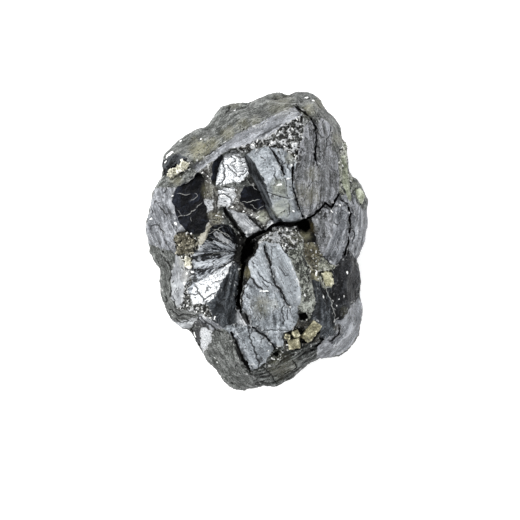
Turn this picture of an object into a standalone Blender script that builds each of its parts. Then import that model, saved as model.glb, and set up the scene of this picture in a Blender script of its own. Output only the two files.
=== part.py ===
"""A hand-sized lump of molybdenum ore: one lead-grey metallic stone, broken along flat cleavage faces and
split by open cracks, with brassy pyrite crystals and a few olive grains seated in pockets of their own.

The stone lies on its flat broken underside. Its upper side is drawn as a net of named corners and flat
facets on a sheet of squares (u to the right, v down the sheet, h the height above the rim, in squares), and
each corner's height is then settled so that the facets come out as flat, and tilted, as they should be.
Run it with: blender --background --python part.py
"""

import math

import bmesh
import bpy
import numpy as np
from mathutils import Matrix, Vector, noise
from mathutils.bvhtree import BVHTree

# ---------------------------------------------------------------- driving sizes, in metres
LENGTH = 0.060                      # the stone's longest side, along Y
SQUARES_ALONG = 300                 # sheet squares along that side
SQUARE = LENGTH / SQUARES_ALONG
SHEET_CENTRE = (256, 241)           # the sheet square over the middle of the stone
SEAT_GAP = 0.0003                   # clearance round a crystal seated in the stone

# ---------------------------------------------------------------- the stone below its rim, in squares
UNDERSIDE_DEPTH = 70                # from the rim down to the face that the stone rests on
BELLY_RINGS = (                     # depth below the rim, and share of the rim's reach
    (9, 1.0), (24, 0.98), (41, 0.93), (57, 0.82), (UNDERSIDE_DEPTH, 0.64),
)
RIM_SWELL = ((18.0, 70.0), (6.0, 17.0))     # how far the rim wanders up and down, and over what distance
# Flat chips broken off below the rim:
# (direction round the stone, how far it looks down, depth where it begins)
CHIPS = (
    (8, 24, 4), (38, 33, 10), (66, 20, 2), (92, 38, 12), (121, 26, 4), (150, 40, 14), (176, 22, 3),
    (203, 35, 12), (231, 24, 5), (262, 40, 10), (287, 25, 3), (312, 36, 12), (341, 28, 4),
    (24, 55, 30), (80, 58, 34), (135, 54, 28), (190, 57, 33), (245, 53, 30), (300, 58, 32), (350, 60, 38),
)

# ---------------------------------------------------------------- relief
LONGEST_EDGE = 13.5                 # upper facets are divided until no edge is longer, in squares
LONGEST_BELLY_EDGE = 18.0           # the same below the rim
LUMP_WAVELENGTH = 13.0
LUMP_GAIN = 1.6                     # brings the noise up to about -1 to 1
BELLY_LUMP = 3.0
BELLY_SWELL = (5.5, 46.0)           # height and wavelength of the slow swells of the underside
RESTING_FACE = -1                   # number of the face that the stone rests on, where facets count from 0

# ------------------------------------------------ the rim, clockwise from the upper left: (u, v)
RIM = (
    (162, 163), (165, 153), (171, 147), (180, 140), (188, 135), (195, 129), (205, 127), (210, 120),
    (219, 109), (230, 103), (242, 101), (248, 103), (258, 98), (271, 92), (281, 92), (288, 96),
    (295, 92), (305, 91), (313, 94), (321, 100), (327, 112), (335, 115), (340, 126), (341, 139),
    (346, 146), (349, 158), (348, 168), (351, 178), (358, 180), (364, 188), (368, 198), (367, 213),
    (368, 223), (366, 240), (361, 251), (356, 260), (360, 273), (361, 284), (359, 296), (362, 302),
    (362, 317), (359, 333), (351, 346), (340, 354), (328, 358), (316, 358), (310, 363), (300, 369),
    (292, 379), (276, 388), (264, 384), (256, 387), (242, 391), (230, 388), (221, 377), (215, 367),
    (208, 362), (203, 354), (197, 344), (192, 331), (181, 328), (170, 319), (165, 305), (161, 292),
    (160, 272), (152, 257), (147, 243), (144, 231), (149, 213), (151, 201), (156, 188), (163, 176),
)

# ---------------------------------------------------------------- corners inside the rim: name: (u, v, h)
CORNERS = {
    # upper slab and the nook at its left end
    "a1": (192, 148, 20), "a2": (214, 135, 28), "a3": (236, 118, 32), "a4": (256, 110, 35),
    "a5": (276, 104, 38),
    "n1": (168, 158, 12), "n2": (180, 154, 24), "n3": (188, 160, 32), "n4": (180, 170, 22),
    "n5": (170, 176, 15),
    # line between the slab and the smooth band, then the band's lower edge
    "s1": (178, 177, 20), "s2": (192, 168, 32), "s3": (205, 158, 42), "s4": (222, 147, 51),
    "s5": (240, 134, 55), "s6": (262, 123, 60), "s7": (280, 114, 62), "s8": (296, 108, 61),
    "b1": (177, 188, 31), "b2": (190, 181, 38), "b3": (198, 173, 45), "b4": (207, 166, 50),
    "b5": (214, 162, 54), "b6": (222, 155, 59), "b7": (235, 149, 65), "b8": (250, 145, 69),
    "b9": (262, 141, 72), "b10": (276, 133, 75), "b11": (290, 123, 76), "b12": (302, 117, 74),
    # knob on the top corner
    "k2": (311, 121, 69), "k3": (317, 128, 63), "k4": (321, 119, 52), "k5": (313, 106, 62),
    # ridge between the front and the right-hand face, then round that face
    "e1": (304, 130, 77), "e2": (300, 148, 79), "e3": (296, 164, 78), "e4": (293, 182, 75),
    "e5": (297, 198, 70), "e6": (301, 213, 63), "e7": (311, 217, 54), "e8": (320, 209, 50),
    "e9": (326, 204, 47), "e10": (331, 208, 45), "e11": (335, 202, 42), "e12": (340, 199, 38),
    "e13": (338, 185, 36), "e14": (338, 168, 38), "e15": (337, 155, 38), "e16": (341, 147, 28),
    "x10": (317, 146, 67), "x11": (316, 165, 65), "x12": (318, 190, 58),
    "x14": (333, 128, 42), "x15": (331, 150, 47), "x16": (330, 180, 46),
    # crumbled brow over the front face, and the front face
    "c1": (246, 156, 63), "c2": (256, 150, 70), "c3": (270, 148, 76), "c4": (284, 152, 77),
    "c5": (292, 158, 78), "c6": (288, 140, 79),
    "d2": (256, 166, 67), "d3": (262, 177, 69), "d4": (267, 191, 67), "d5": (278, 197, 69),
    "d6": (290, 200, 68), "d7": (272, 207, 61), "d8": (278, 218, 57), "d11": (283, 178, 74),
    # foot of the dark wall left of the front face
    "m2": (249, 174, 50), "m3": (256, 186, 48), "m4": (262, 198, 46), "m5": (266, 209, 44),
    "m6": (271, 220, 43),
    # bright mirror and what is round it
    "j1": (223, 158, 44), "j2": (236, 152, 43), "j3": (245, 159, 46), "j4": (241, 184, 54),
    "j5": (232, 183, 52), "j6": (216, 187, 47), "j7": (219, 172, 45),
    "l1": (218, 190, 45), "l2": (234, 188, 51), "l3": (236, 198, 49), "l4": (232, 206, 47),
    "l5": (227, 210, 45), "l6": (218, 204, 43),
    "w2": (205, 190, 33), "w5": (212, 184, 45),
    "t1": (204, 200, 33), "t2": (213, 200, 41), "t3": (213, 210, 40), "t4": (207, 213, 33),
    # large dark mirror on the left
    "i0": (187, 185, 31), "i1": (199, 177, 33), "i2": (204, 178, 34), "i6": (209, 222, 34),
    "i7": (205, 232, 33), "i8": (197, 239, 32), "i9": (186, 231, 30), "i10": (180, 224, 30),
    "i11": (175, 211, 30), "i12": (172, 202, 30),
    "x1": (219, 212, 40), "x2": (225, 218, 40),
    # small dark mirror and the pale face under it
    "v1": (243, 189, 51), "v2": (251, 186, 49), "v6": (257, 213, 45), "v7": (248, 209, 46),
    "v8": (240, 202, 47),
    "o2": (238, 213, 45), "o3": (248, 215, 46), "o4": (256, 222, 44), "o7": (243, 233, 39),
    "o8": (235, 222, 42),
    # line of the great crack
    "h1": (249, 240, 40), "h2": (262, 232, 43), "h3": (275, 228, 54), "h4": (285, 225, 55),
    "h5": (294, 225, 55), "h6": (302, 221, 54),
    # hollow fan
    "f1": (212, 227, 35), "f2": (221, 224, 37), "f3": (231, 227, 38), "f4": (236, 236, 36),
    "f5": (238, 245, 30), "f6": (235, 253, 29), "f7": (233, 261, 37), "f8": (219, 265, 34),
    "f9": (205, 270, 32), "f10": (191, 269, 30), "f11": (192, 257, 29), "f12": (199, 249, 31),
    "f13": (206, 240, 33),
    "y1": (178, 236, 29), "y7": (184, 262, 28), "y8": (177, 254, 26), "y9": (175, 244, 27),
    # lower bright mirror
    "q11": (228, 273, 41), "q12": (220, 287, 44), "q13": (214, 298, 45), "q14": (206, 304, 43),
    "q15": (194, 304, 39), "q16": (190, 295, 35), "q17": (195, 284, 32), "q18": (207, 278, 34),
    "q19": (220, 271, 35),
    "zz": (186, 284, 27), "u4": (184, 300, 29),
    # dark slate face and the ledge under it
    "R1": (241, 268, 37), "R2": (240, 280, 35), "R3": (238, 296, 35), "R4": (237, 310, 37),
    "R5": (235, 323, 39), "R6": (223, 328, 40), "R7": (212, 320, 40), "R8": (210, 309, 42),
    "V1": (190, 311, 33), "V2": (200, 314, 38),
    # left-hand faces
    "S1": (158, 206, 14), "S2": (166, 226, 22), "S3": (162, 249, 17),
    "U5": (177, 309, 23), "U6": (171, 276, 16), "U7": (171, 298, 16),
    # lower left block and the bottom lobe
    "W1": (204, 327, 25), "W2": (213, 331, 33), "W3": (212, 343, 28), "W4": (205, 352, 8),
    "X2": (232, 336, 45), "X3": (239, 350, 47), "X4": (246, 362, 42), "X5": (251, 372, 33),
    "X6": (253, 381, 18), "X7": (226, 357, 33), "X8": (236, 374, 24),
    # central block
    "z10": (259, 239, 55), "z11": (268, 234, 58), "z14": (299, 233, 58), "z15": (303, 243, 61),
    "z16": (303, 255, 64),
    "c20": (262, 243, 67), "c21": (271, 243, 70), "c22": (279, 244, 71), "c23": (286, 253, 73),
    "c24": (291, 262, 74), "c25": (296, 275, 73), "c26": (300, 290, 71), "c27": (300, 303, 68),
    "c28": (289, 305, 66), "c29": (280, 290, 67), "c30": (261, 291, 63), "c31": (250, 278, 61),
    "c32": (248, 263, 61), "c33": (254, 256, 63), "c34": (258, 249, 65),
    "c40": (246, 284, 58), "c41": (242, 296, 56), "c42": (242, 309, 55), "c43": (248, 314, 56),
    "c44": (252, 327, 55), "c45": (264, 335, 56), "c46": (274, 347, 54), "c47": (283, 345, 56),
    "c48": (283, 333, 60), "c49": (292, 329, 62), "c50": (298, 319, 64), "c51": (297, 306, 67),
    "c57": (272, 352, 49), "c58": (266, 362, 44), "c59": (258, 367, 42),
    # rough flank right of the central block, and the golden seam
    "aa2": (308, 265, 58), "aa3": (311, 280, 56), "aa4": (314, 296, 53), "aa5": (314, 308, 51),
    "aa6": (310, 319, 51), "aa7": (303, 322, 58),
    "ab1": (313, 231, 46), "ab2": (316, 243, 48), "ab3": (322, 257, 49), "ab4": (318, 266, 50),
    # right-hand blocks
    "bb2": (348, 206, 38), "bb3": (349, 222, 38), "bb4": (348, 240, 38), "bb5": (346, 250, 39),
    "bb6": (342, 258, 41), "bb7": (335, 266, 44), "bb8": (329, 264, 46), "bb9": (331, 276, 43),
    "bb10": (331, 288, 41), "bb11": (324, 290, 45), "bb12": (318, 281, 50), "bbm": (332, 236, 48),
    "cc1": (350, 192, 26), "cc2": (353, 256, 27), "ccm": (358, 205, 24), "ccn": (357, 236, 26),
    # dark lobe, lower right lobe and the slate wedge beside the pyrite
    "ddm": (346, 285, 34), "dd2": (350, 308, 28), "dd3": (342, 319, 32), "dd4": (334, 321, 36),
    "dd5": (332, 304, 38),
    "ff2": (336, 333, 33), "ff3": (327, 338, 37), "ff4": (320, 341, 38), "ff5": (319, 329, 44),
    "ee1": (335, 345, 29), "ee2": (350, 332, 23),
    "gg1": (284, 350, 47), "gg2": (300, 349, 44), "gg4": (315, 351, 30), "gg5": (288, 362, 36),
    "gg6": (266, 374, 28), "pp2": (308, 343, 43),
}

# ------------------------------------------------ facets: name: (corners in order, lump height)
FACETS = {
    "nook_cap": ("r0 r1 r2 r3 a1 n2 n1", 1.0),
    "nook_prism": ("r71 r0 n1 n2 n3 n4 n5", 0.4),
    "nook_floor": ("n5 n4 n3 s2 s1", 1.2),
    "slab_1": ("r3 r4 r5 r6 a2 a1", 2.0),
    "slab_2": ("a1 a2 s4 s3 s2 n3 n2", 2.0),
    "slab_3": ("r6 r7 r8 a3 a2", 2.0),
    "slab_4": ("a2 a3 s5 s4", 2.0),
    "slab_5": ("r8 r9 r10 r11 a4 a3", 2.0),
    "slab_6": ("a3 a4 s6 s5", 1.8),
    "slab_7": ("r11 r12 r13 r14 a5 a4", 2.0),
    "slab_8": ("a4 a5 s7 s6", 1.6),
    "slab_9": ("r14 r15 r16 s8 s7 a5", 1.6),
    "knob_west": ("r16 r17 r18 k5 b12 s8", 1.6),
    "knob_east": ("r18 r19 r20 k4 k5", 2.0),
    "knob_south": ("b12 k5 k4 k3 k2", 1.6),
    "band_1": ("r70 r71 n5 s1 b1", 0.8),
    "band_2": ("s1 s2 b3 b2 b1", 0.5),
    "band_3": ("s2 s3 b5 b4 b3", 0.5),
    "band_4": ("s3 s4 b6 b5", 0.5),
    "band_5": ("s4 s5 b7 b6", 0.5),
    "band_6": ("s5 s6 b8 b7", 0.5),
    "band_7": ("s6 s7 b10 b9 b8", 0.5),
    "band_8": ("s7 s8 b12 b11 b10", 0.6),
    "brow_corner": ("b12 k2 e1", 0.8),
    "east_left": ("e1 k2 k3 x10 x11 x12 e8 e7 h6 e6 e5 e4 e3 e2", 0.7),
    "east_mid": ("k3 k4 x14 x15 x16 e10 e9 e8 x12 x11 x10", 0.6),
    "east_edge": ("k4 r20 r21 r22 r23 e16 e15 x15 x14", 1.4),
    "east_low": ("x15 e15 e14 e13 e12 e11 e10 x16", 0.6),
    "strip_1": ("e16 r23 r24 r25 e14 e15", 1.0),
    "strip_2": ("e14 r25 r26 r27 e13", 0.8),
    "strip_3": ("e13 r27 cc1 e12", 0.8),
    "crumble_1": ("b7 b8 c2 c1", 1.0),
    "crumble_2": ("b8 b9 b10 c3 c2", 1.2),
    "crumble_3": ("b10 b11 c6 c4 c3", 1.4),
    "crumble_4": ("b11 b12 e1 e2 c5 c6", 1.2),
    "crumble_5": ("c6 c5 c4", 1.0),
    "front_left": ("c1 c2 c3 d11 d5 d4 d3 d2", 0.0),
    "front_right": ("c3 c4 c5 e3 e4 e5 d6 d5 d11", 0.3),
    "front_ridge": ("e2 e3 c5", 0.3),
    "front_low": ("d4 d5 d6 e5 e6 h6 h5 h4 d8 d7", 0.6),
    "wall_1": ("c1 d2 d3 m3 m2 j3", 0.0),
    "wall_2": ("d3 d4 d7 m5 m4 m3", 0.0),
    "wall_3": ("d7 d8 h4 h3 m6 m5", 0.0),
    "mirror_head": ("b6 b7 c1 j3 j2 j1", 0.0),
    "bright_mirror": ("j1 j2 j3 m2 j4 j5 j6 j7", 0.0),
    "dark_sliver": ("b5 b6 j1 j7 j6 w5", 0.0),
    "rib_wall": ("b3 b4 b5 w5 t2 t1 w2 i2 i1", 0.4),
    "sill": ("j6 j5 j4 v1 l2 l1", 0.0),
    "bright_cells": ("l1 l2 l3 l4 l5 l6", 0.0),
    "rib": ("w5 j6 l1 l6 x1 t3 t2", 0.4),
    "bright_chip": ("t1 t2 t3 t4", 0.0),
    "matrix_1": ("t4 t3 x1 x2 f2 f1 i6", 0.8),
    "matrix_2": ("l6 l5 x2 x1", 0.6),
    "dark_head": ("b1 b2 b3 i1 i0", 0.0),
    "dark_mirror": ("i1 i2 w2 t1 t4 i6 i7 i8 i9 i10 i11 i12 b1 i0", 0.0),
    "shelf": ("l5 l4 l3 v8 v7 o3 o2", 0.2),
    "shelf_side": ("l2 v1 v8 l3", 0.0),
    "mirror_foot": ("j4 m2 m3 v2 v1", 0.0),
    "small_dark": ("v1 v2 m3 m4 m5 v6 v7 v8", 0.0),
    "small_pale": ("v7 v6 m5 m6 h2 o4 o3", 0.2),
    "pale_face": ("l5 o2 o3 o4 h2 h1 o7 o8", 0.0),
    "bright_tooth": ("m6 h3 h2", 0.0),
    "north_wall": ("h1 h2 h3 z11 z10", 0.0),
    "fan_brow": ("o8 o7 f4 f3 f2 x2 l5", 0.2),
    "fan_top": ("f1 f2 f3 f4 f5 f13", 0.0),
    "fan_middle": ("f13 f5 f6 f11 f12", 0.0),
    "fan_low": ("f11 f6 f7 f8 f9 f10", 0.0),
    "rod": ("i6 f1 f13 f12 i8 i7", 0.2),
    "pyrite_nest": ("i8 f12 f11 f10 y7 y8 y9 y1 i9", 1.0),
    "dark_lip": ("zz f10 f9 f8 f7 q19 q18 q17 q16", 0.0),
    "low_mirror": ("f7 q11 q12 q13 q14 q15 q16 q17 q18 q19", 0.0),
    "crumbs": ("zz q16 q15 q14 R8 R7 V2 V1 U5 u4", 0.8),
    "slate_face": ("f7 R1 R2 R3 R4 R5 R6 R7 R8 q14 q13 q12 q11", 0.3),
    "hub": ("o7 h1 z10 c34 c33 c32 R1 f7 f6 f5 f4", 0.0),
    "crack_wall": ("R1 c32 c31 c40 c41 c42 R4 R3 R2", 0.0),
    "block_head": ("z10 z11 c21 c20 c34", 0.2),
    "block_bright": ("z11 h3 c22 c21", 0.0),
    "block_crumble": ("h3 h4 h5 z14 z15 c23 c22", 0.8),
    "block_shoulder": ("z15 z16 c24 c23", 0.6),
    "dark_pocket": ("h5 h6 e7 ab1 ab2 z15 z14", 0.6),
    "golden_seam": ("z15 ab2 ab3 ab4 bb12 aa3 aa2 z16", 1.0),
    "flank_1": ("z16 aa2 aa3 aa4 c26 c25 c24", 1.4),
    "flank_2": ("aa4 aa5 aa6 aa7 c50 c51 c27 c26", 1.4),
    "block_face": ("c20 c21 c22 c23 c24 c25 c26 c27 c28 c29 c30 c31 c32 c33 c34", 0.0),
    "block_low": ("c31 c30 c29 c28 c27 c51 c50 c49 c48 c47 c46 c45 c44 c43 c42 c41 c40", 0.3),
    "block_foot": ("R4 c42 c43 c44 R5", 0.0),
    "lower_face": ("R5 c44 c45 c46 c57 c58 c59 X5 X4 X3 X2 R6", 0.3),
    "lobe_1": ("W2 R6 X2 X3 X7 W3", 1.2),
    "lobe_2": ("X3 X4 X5 X6 X8 X7", 1.4),
    "lobe_3": ("W3 X7 X8 r53 r54 r55 r56 r57 W4", 1.6),
    "lobe_4": ("X8 X6 r51 r52 r53", 1.4),
    "ledge_under": ("V2 R7 R6 W2 W1", 0.3),
    "ledge_bright": ("W1 W2 W3 W4", 0.0),
    "ledge_dark": ("r59 W1 W4 r57 r58", 0.8),
    "ledge_left": ("U5 V1 V2 W1 r59 r60 r61", 0.8),
    "left_low": ("r61 r62 r63 r64 U6 U7 U5", 1.0),
    "left_strip": ("y8 y7 f10 zz u4 U5 U7 U6", 0.4),
    "left_mid": ("r64 r65 S3 y8 U6", 0.8),
    "left_top": ("r70 b1 i12 S1 r69", 0.8),
    "left_face": ("S1 i12 i11 i10 i9 y1 y9 S2", 0.5),
    "left_edge": ("r69 S1 S2 S3 r65 r66 r67 r68", 0.9),
    "left_heel": ("S2 y9 y8 S3", 0.6),
    "right_face": ("e7 e8 e9 e10 bbm ab3 ab2 ab1", 0.7),
    "right_silk": ("e10 e11 e12 bb2 bb3 bb4 bb5 bb6 bb7 bb8 ab3 bbm", 0.5),
    "right_pale": ("ab3 bb8 bb7 bb9 bb10 bb11 bb12 ab4", 1.2),
    "slate_wedge": ("aa3 bb12 bb11 bb10 dd5 dd4 ff2 ff3 ff4 ff5 aa6 aa5 aa4", 0.8),
    "dark_lobe_1": ("bb7 bb6 bb5 cc2 ddm bb10 bb9", 1.2),
    "dark_lobe_2": ("cc2 r35 r36 r37 r38 ddm", 1.4),
    "dark_lobe_3": ("ddm r38 dd2 dd3 dd4 dd5 bb10", 1.2),
    "right_inner": ("e12 cc1 ccm ccn bb4 bb3 bb2", 0.7),
    "right_crown": ("cc1 r27 r28 r29 r30 r31 ccm", 0.8),
    "right_edge": ("ccm r31 r32 r33 ccn", 0.9),
    "right_heel": ("ccn r33 r34 r35 cc2 bb5 bb4", 0.8),
    "low_right_1": ("dd4 dd3 dd2 r38 r39 r40 ee2 ee1 ff3 ff2", 0.9),
    "low_right_2": ("ee2 r40 r41 r42 r43 r44 ee1", 0.8),
    "low_right_3": ("ff4 ff3 ee1 r44 r45 gg4", 0.8),
    "pyrite_shelf": ("c48 c49 c50 aa7 aa6 ff5 ff4 pp2 gg2 gg1 c47", 0.6),
    "bottom_1": ("c46 c47 gg1 gg2 gg5 c58 c57", 1.0),
    "bottom_2": ("gg2 pp2 ff4 gg4 r45 r46 r47 gg5", 1.4),
    "bottom_3": ("c58 gg5 r47 r48 r49 gg6 c59", 1.4),
    "bottom_4": ("c59 gg6 r49 r50 r51 X6 X5", 1.4),
}

# ------------------------------------------------ open cracks: name: (depth, ((u, v, width), ...))
CRACKS = {
    "great": (26, ((314, 216, 1.6), (301, 222, 4), (290, 225, 5), (280, 224, 4), (273, 226, 3.6),
                   (262, 233, 4.6), (250, 239, 5), (245, 247, 5), (243, 256, 4.4), (242, 264, 3))),
    "inner": (27, ((245, 262, 3), (242, 272, 4), (241, 284, 5), (239.5, 298, 5), (240, 309, 3.4),
                   (243, 317, 2))),
    "right": (15, ((311, 217, 2), (319, 210, 2.6), (325, 203.5, 2.4), (331, 208, 2.6), (335, 201, 2.4),
                   (340, 193, 1.6))),
    "side": (13, ((340, 200, 1.4), (347, 204, 2.2), (350, 214, 2.4), (350, 228, 2.2), (348, 243, 2),
                  (344, 257, 1.2))),
    "east": (11, ((295, 108, 2), (304, 114, 3), (311, 121, 2.8), (316, 128, 2.2), (316, 148, 1.8),
                  (314.5, 157, 3.2),
                  (317, 167, 1.4))),
    "seam": (8, ((293, 165, 1.2), (292, 180, 2), (294.5, 194, 2), (298, 207, 2.2), (303, 218, 1.4))),
    "slit": (7, ((269, 148, 1), (277, 160, 2), (284, 176, 1))),
    "groove": (9, ((231, 331, 1.6), (236, 342, 3.6), (242, 355, 3.8), (248, 367, 3.2), (251, 374, 1.6))),
    "slope": (12, ((224, 208, 2), (230, 218, 4), (237, 228, 4), (244, 237, 3))),
    "wedge": (8, ((248, 216, 1.4), (256, 223, 3), (264, 230, 2.4))),
    "foot": (8, ((252, 326, 1.6), (261, 333, 2.2), (269, 340, 2), (276, 350, 1.6))),
    "block": (5, ((264, 246, 1.4), (269, 261, 1.6), (273, 279, 1.5), (281, 291, 1.6), (289, 306, 1.2))),
    "corner": (7, ((323, 339, 1.6), (317, 345, 3), (311, 351, 1.6))),
    "hook": (5, ((339, 326, 1.2), (339, 334, 1.5), (330, 342, 1.1))),
}

# ---------------------------------------------------------------- pits: name: (depth, outline)
PITS = {
    "north_pocket": (26, ((296, 222), (304, 219), (309, 221), (311, 229), (306, 233), (298, 229))),
    "hub_pocket": (22, ((246, 241), (256, 241), (256, 254), (249, 258), (244, 263), (240, 262),
                        (243, 250))),
    "nook_gap": (9, ((167, 172), (172, 167), (177, 164), (178, 167), (172, 173), (168, 175))),
    "flank_pit": (12, ((297, 313), (305, 311), (309, 316), (306, 321), (299, 320))),
    "pyrite_hollow": (9, ((285, 332), (290, 331), (300, 328), (305, 331), (310, 322), (315, 319),
                          (322, 328),
                          (320, 334), (310, 343), (302, 343), (300, 350), (289, 349), (284, 339))),
    "foot_wedge": (9, ((241, 309), (245, 311), (249, 316), (251, 326), (247, 322), (243, 315))),
    "low_pit": (7, ((272, 352), (275, 350), (278, 351), (279, 355), (276, 357), (273, 355))),
    "strip_pit": (6, ((344, 185), (347, 183), (349, 185), (348, 189), (345, 190))),
}
CRACK_STEP = 7.0                    # spacing of the ragged points along a crack, in squares
CRACK_STRAY = 0.9                   # how far they stray to either side
CRACK_WAVELENGTH = 3.0              # distance over which it strays and its width changes, in squares
CRACK_SWAY = 2.0                    # brings the noise of its straying up to about -1 to 1
SLOT_FLARE = 1.25                   # a crack's mouth, as a share of the width that it has at the surface
SLOT_TAPER = 0.45                   # its floor, likewise
PIT_FLARE = 1.06
PIT_TAPER = 0.6
OVERSHOOT = 4.0                     # how far a cutter stands out of the stone, in squares
ABOVE_ALL = 200.0                   # a height clear of the whole stone, in squares

# ---------------------------------------------------------------- crystals
# name: (form, (u, v), rise of the middle over the stone,
#        (length, width, thickness), (heading, pitch, roll), material)
CRYSTALS = {
    "pyrite_large": ("block", (310.5, 331.0), 2.0, (18, 9.5, 12), (54, 22, 6), "pyrite"),
    "pyrite_middle": ("block", (294.0, 342.5), 0.5, (10.5, 9, 11), (8, -6, 10), "pyrite"),
    "pyrite_small": ("block", (295.5, 333.5), 0.5, (6, 6, 8), (22, 8, -8), "pyrite"),
    "pyrite_tiny": ("block", (287.0, 335.5), 0.5, (4.5, 4, 7), (-12, 6, 8), "pyrite"),
    "cream_crystal": ("block", (188.5, 262.5), 0.8, (10.5, 4.6, 7), (104, 8, 12), "cream"),
    "yellow_crystal": ("block", (327.6, 278.5), 0.8, (12, 7, 8), (104, 6, -14), "cream"),
    "olive_crystal": ("prism", (343.5, 181.0), 0.6, (25, 9.5, 10), (97, 4, 0), "olive"),
    "green_crystal": ("pebble", (359.0, 196.5), 0.6, (15, 9.5, 9), (100, 0, 0), "olive"),
}
# Grains grown together into one piece:
# name: (mean size, spread of size, rise over the stone, middles, material)
CLUSTERS = {
    "pyrite_cluster": (5.8, 1.6, -0.9, (
        (179, 238), (183, 236.5), (187, 239), (191, 242), (186, 243),
        (182, 245), (185, 249), (190, 247.5), (180.5, 250.5)), "pyrite"),
    "nook_pyrite": (6.0, 1.4, 0.6, ((171.5, 174.5), (175.5, 171.5), (180, 169), (184.5, 165.5)), "cream"),
}
CLUSTER_TURN = 35.0                 # how far a grain may be turned about each axis, in degrees
CLUSTER_SEED = 11
PRISM_FOOT = 0.34                   # a prism's radius at its lower end, as a share of its width
PRISM_TIP = 0.30                    # the same at its upper end
PRISM_SWELL = 1.6                   # how much its middle swells
PRISM_STRETCH = 1.9                 # and spreads along it, so that its ends come to blunt points

MATERIALS = {
    # name: (colour, metallic, roughness)
    "stone": ((0.205, 0.215, 0.235, 1.0), 0.55, 0.42),
    "pyrite": ((0.50, 0.41, 0.19, 1.0), 0.95, 0.30),
    "cream": ((0.66, 0.60, 0.40, 1.0), 0.60, 0.35),
    "olive": ((0.36, 0.37, 0.20, 1.0), 0.0, 0.35),
}


def place(u, v, h):
    """A point of the sheet, with its height above the rim, as a place in metres."""
    return Vector((
        (u - SHEET_CENTRE[0]) * SQUARE,
        (SHEET_CENTRE[1] - v) * SQUARE,
        (h + UNDERSIDE_DEPTH) * SQUARE,
    ))


def rim_height(u, v):
    """How far above or below the rim's mean level it runs at a point of the sheet."""
    return sum(swell * noise.noise(Vector((u, v, 1.0 + 4.0 * level)) / reach)
               for level, (swell, reach) in enumerate(RIM_SWELL, 1))


def named_corners():
    """Every corner as [u, v, h]: the rim as r0, r1, ... and the named corners inside it."""
    corners = {}
    for index, (u, v) in enumerate(RIM):
        corners["r%d" % index] = [u, v, rim_height(u, v)]
    for name, (u, v, h) in CORNERS.items():
        corners[name] = [u, v, float(h)]
    return corners


def settle(corners, passes=40, hold=6.0):
    """Ease the inner corners' heights towards the planes of the facets that meet in them."""
    drawn = {name: corners[name][2] for name in CORNERS}
    for _ in range(passes):
        sums = {name: [hold * drawn[name], hold] for name in CORNERS}
        for loop, lump in FACETS.values():
            names = loop.split()
            grid = np.array([[corners[n][0], corners[n][1], 1.0] for n in names])
            heights = np.array([corners[n][2] for n in names])
            plane = np.linalg.lstsq(grid, heights, rcond=None)[0]
            weight = 1.0 / (0.2 + lump)
            for name, wanted in zip(names, grid @ plane):
                if name in sums:
                    sums[name][0] += weight * wanted
                    sums[name][1] += weight
        for name, (total, weight) in sums.items():
            corners[name][2] = total / weight


def chip(point, level_only=False):
    """Bring a point under the rim in to the flat chips that it stands out of."""
    for direction, down, begins in CHIPS:
        outward = Vector((math.cos(math.radians(direction)), math.sin(math.radians(direction)), 0.0))
        reach = max(place(u, v, 0.0).dot(outward) for u, v in RIM)
        tilt = math.radians(down)
        normal = outward * math.cos(tilt) - Vector((0.0, 0.0, math.sin(tilt)))
        corner = outward * reach + place(*SHEET_CENTRE, -begins)
        excess = (point - corner).dot(normal)
        if excess > 0.0 and level_only:
            point = point - outward * (excess / math.cos(tilt))
        elif excess > 0.0:
            point = point - normal * excess
    return point


def smoothed(outline):
    """One pass of rounding a closed outline."""
    count = len(outline)
    return [
        outline[i] * 0.5 + (outline[i - 1] + outline[(i + 1) % count]) * 0.25
        for i in range(count)
    ]


def belly(mesh, rim, layer):
    """Close the stone under its rim, ring by ring, down to the flat face that it rests on."""
    middle = place(*SHEET_CENTRE, 0.0)
    outline = [vert.co.copy() for vert in rim]
    ring = rim
    for step, (depth, share) in enumerate(BELLY_RINGS):
        outline = smoothed(smoothed(outline))
        lower = []
        for point in outline:
            place_in = middle + (point - middle) * share
            place_in.z = middle.z - depth * SQUARE
            lower.append(mesh.verts.new(place_in))
        for i in range(len(ring)):
            face = mesh.faces.new((ring[i - 1], ring[i], lower[i], lower[i - 1]))
            face[layer] = len(FACETS) + step
        ring = lower
    mesh.faces.new(ring)[layer] = RESTING_FACE


def divide(mesh, layer):
    """Divide the facets until no edge is long, leaving the resting face whole."""
    def allowed(edge):
        upper = any(0 <= face[layer] < len(FACETS) for face in edge.link_faces)
        return (LONGEST_EDGE if upper else LONGEST_BELLY_EDGE) * SQUARE

    while True:
        bmesh.ops.triangulate(mesh, faces=[f for f in mesh.faces if len(f.verts) > 3 and f[layer] >= 0])
        longest = [e for e in mesh.edges if e.calc_length() > allowed(e)]
        if not longest:
            return
        longest.sort(key=lambda e: -e.calc_length())
        taken = set()
        chosen = []
        for edge in longest:
            if not any(face in taken for face in edge.link_faces):
                chosen.append(edge)
                taken.update(face for face in edge.link_faces if face[layer] >= 0)
        bmesh.ops.subdivide_edges(mesh, edges=chosen, cuts=1)


def facets_of(vert, layer):
    """The numbers of the facets that meet in a point."""
    return {face[layer] for face in vert.link_faces}


def ease_insides(mesh, layer, passes=25):
    """Draw the points inside each upper facet into one even sheet between its edges."""
    inner = [vert for vert in mesh.verts
             if len(facets_of(vert, layer)) == 1 and vert.link_faces[0][layer] < len(FACETS)]
    for _ in range(passes):
        for vert in inner:
            around = [edge.other_vert(vert).co for edge in vert.link_edges]
            vert.co = sum(around, Vector()) / len(around)


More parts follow.
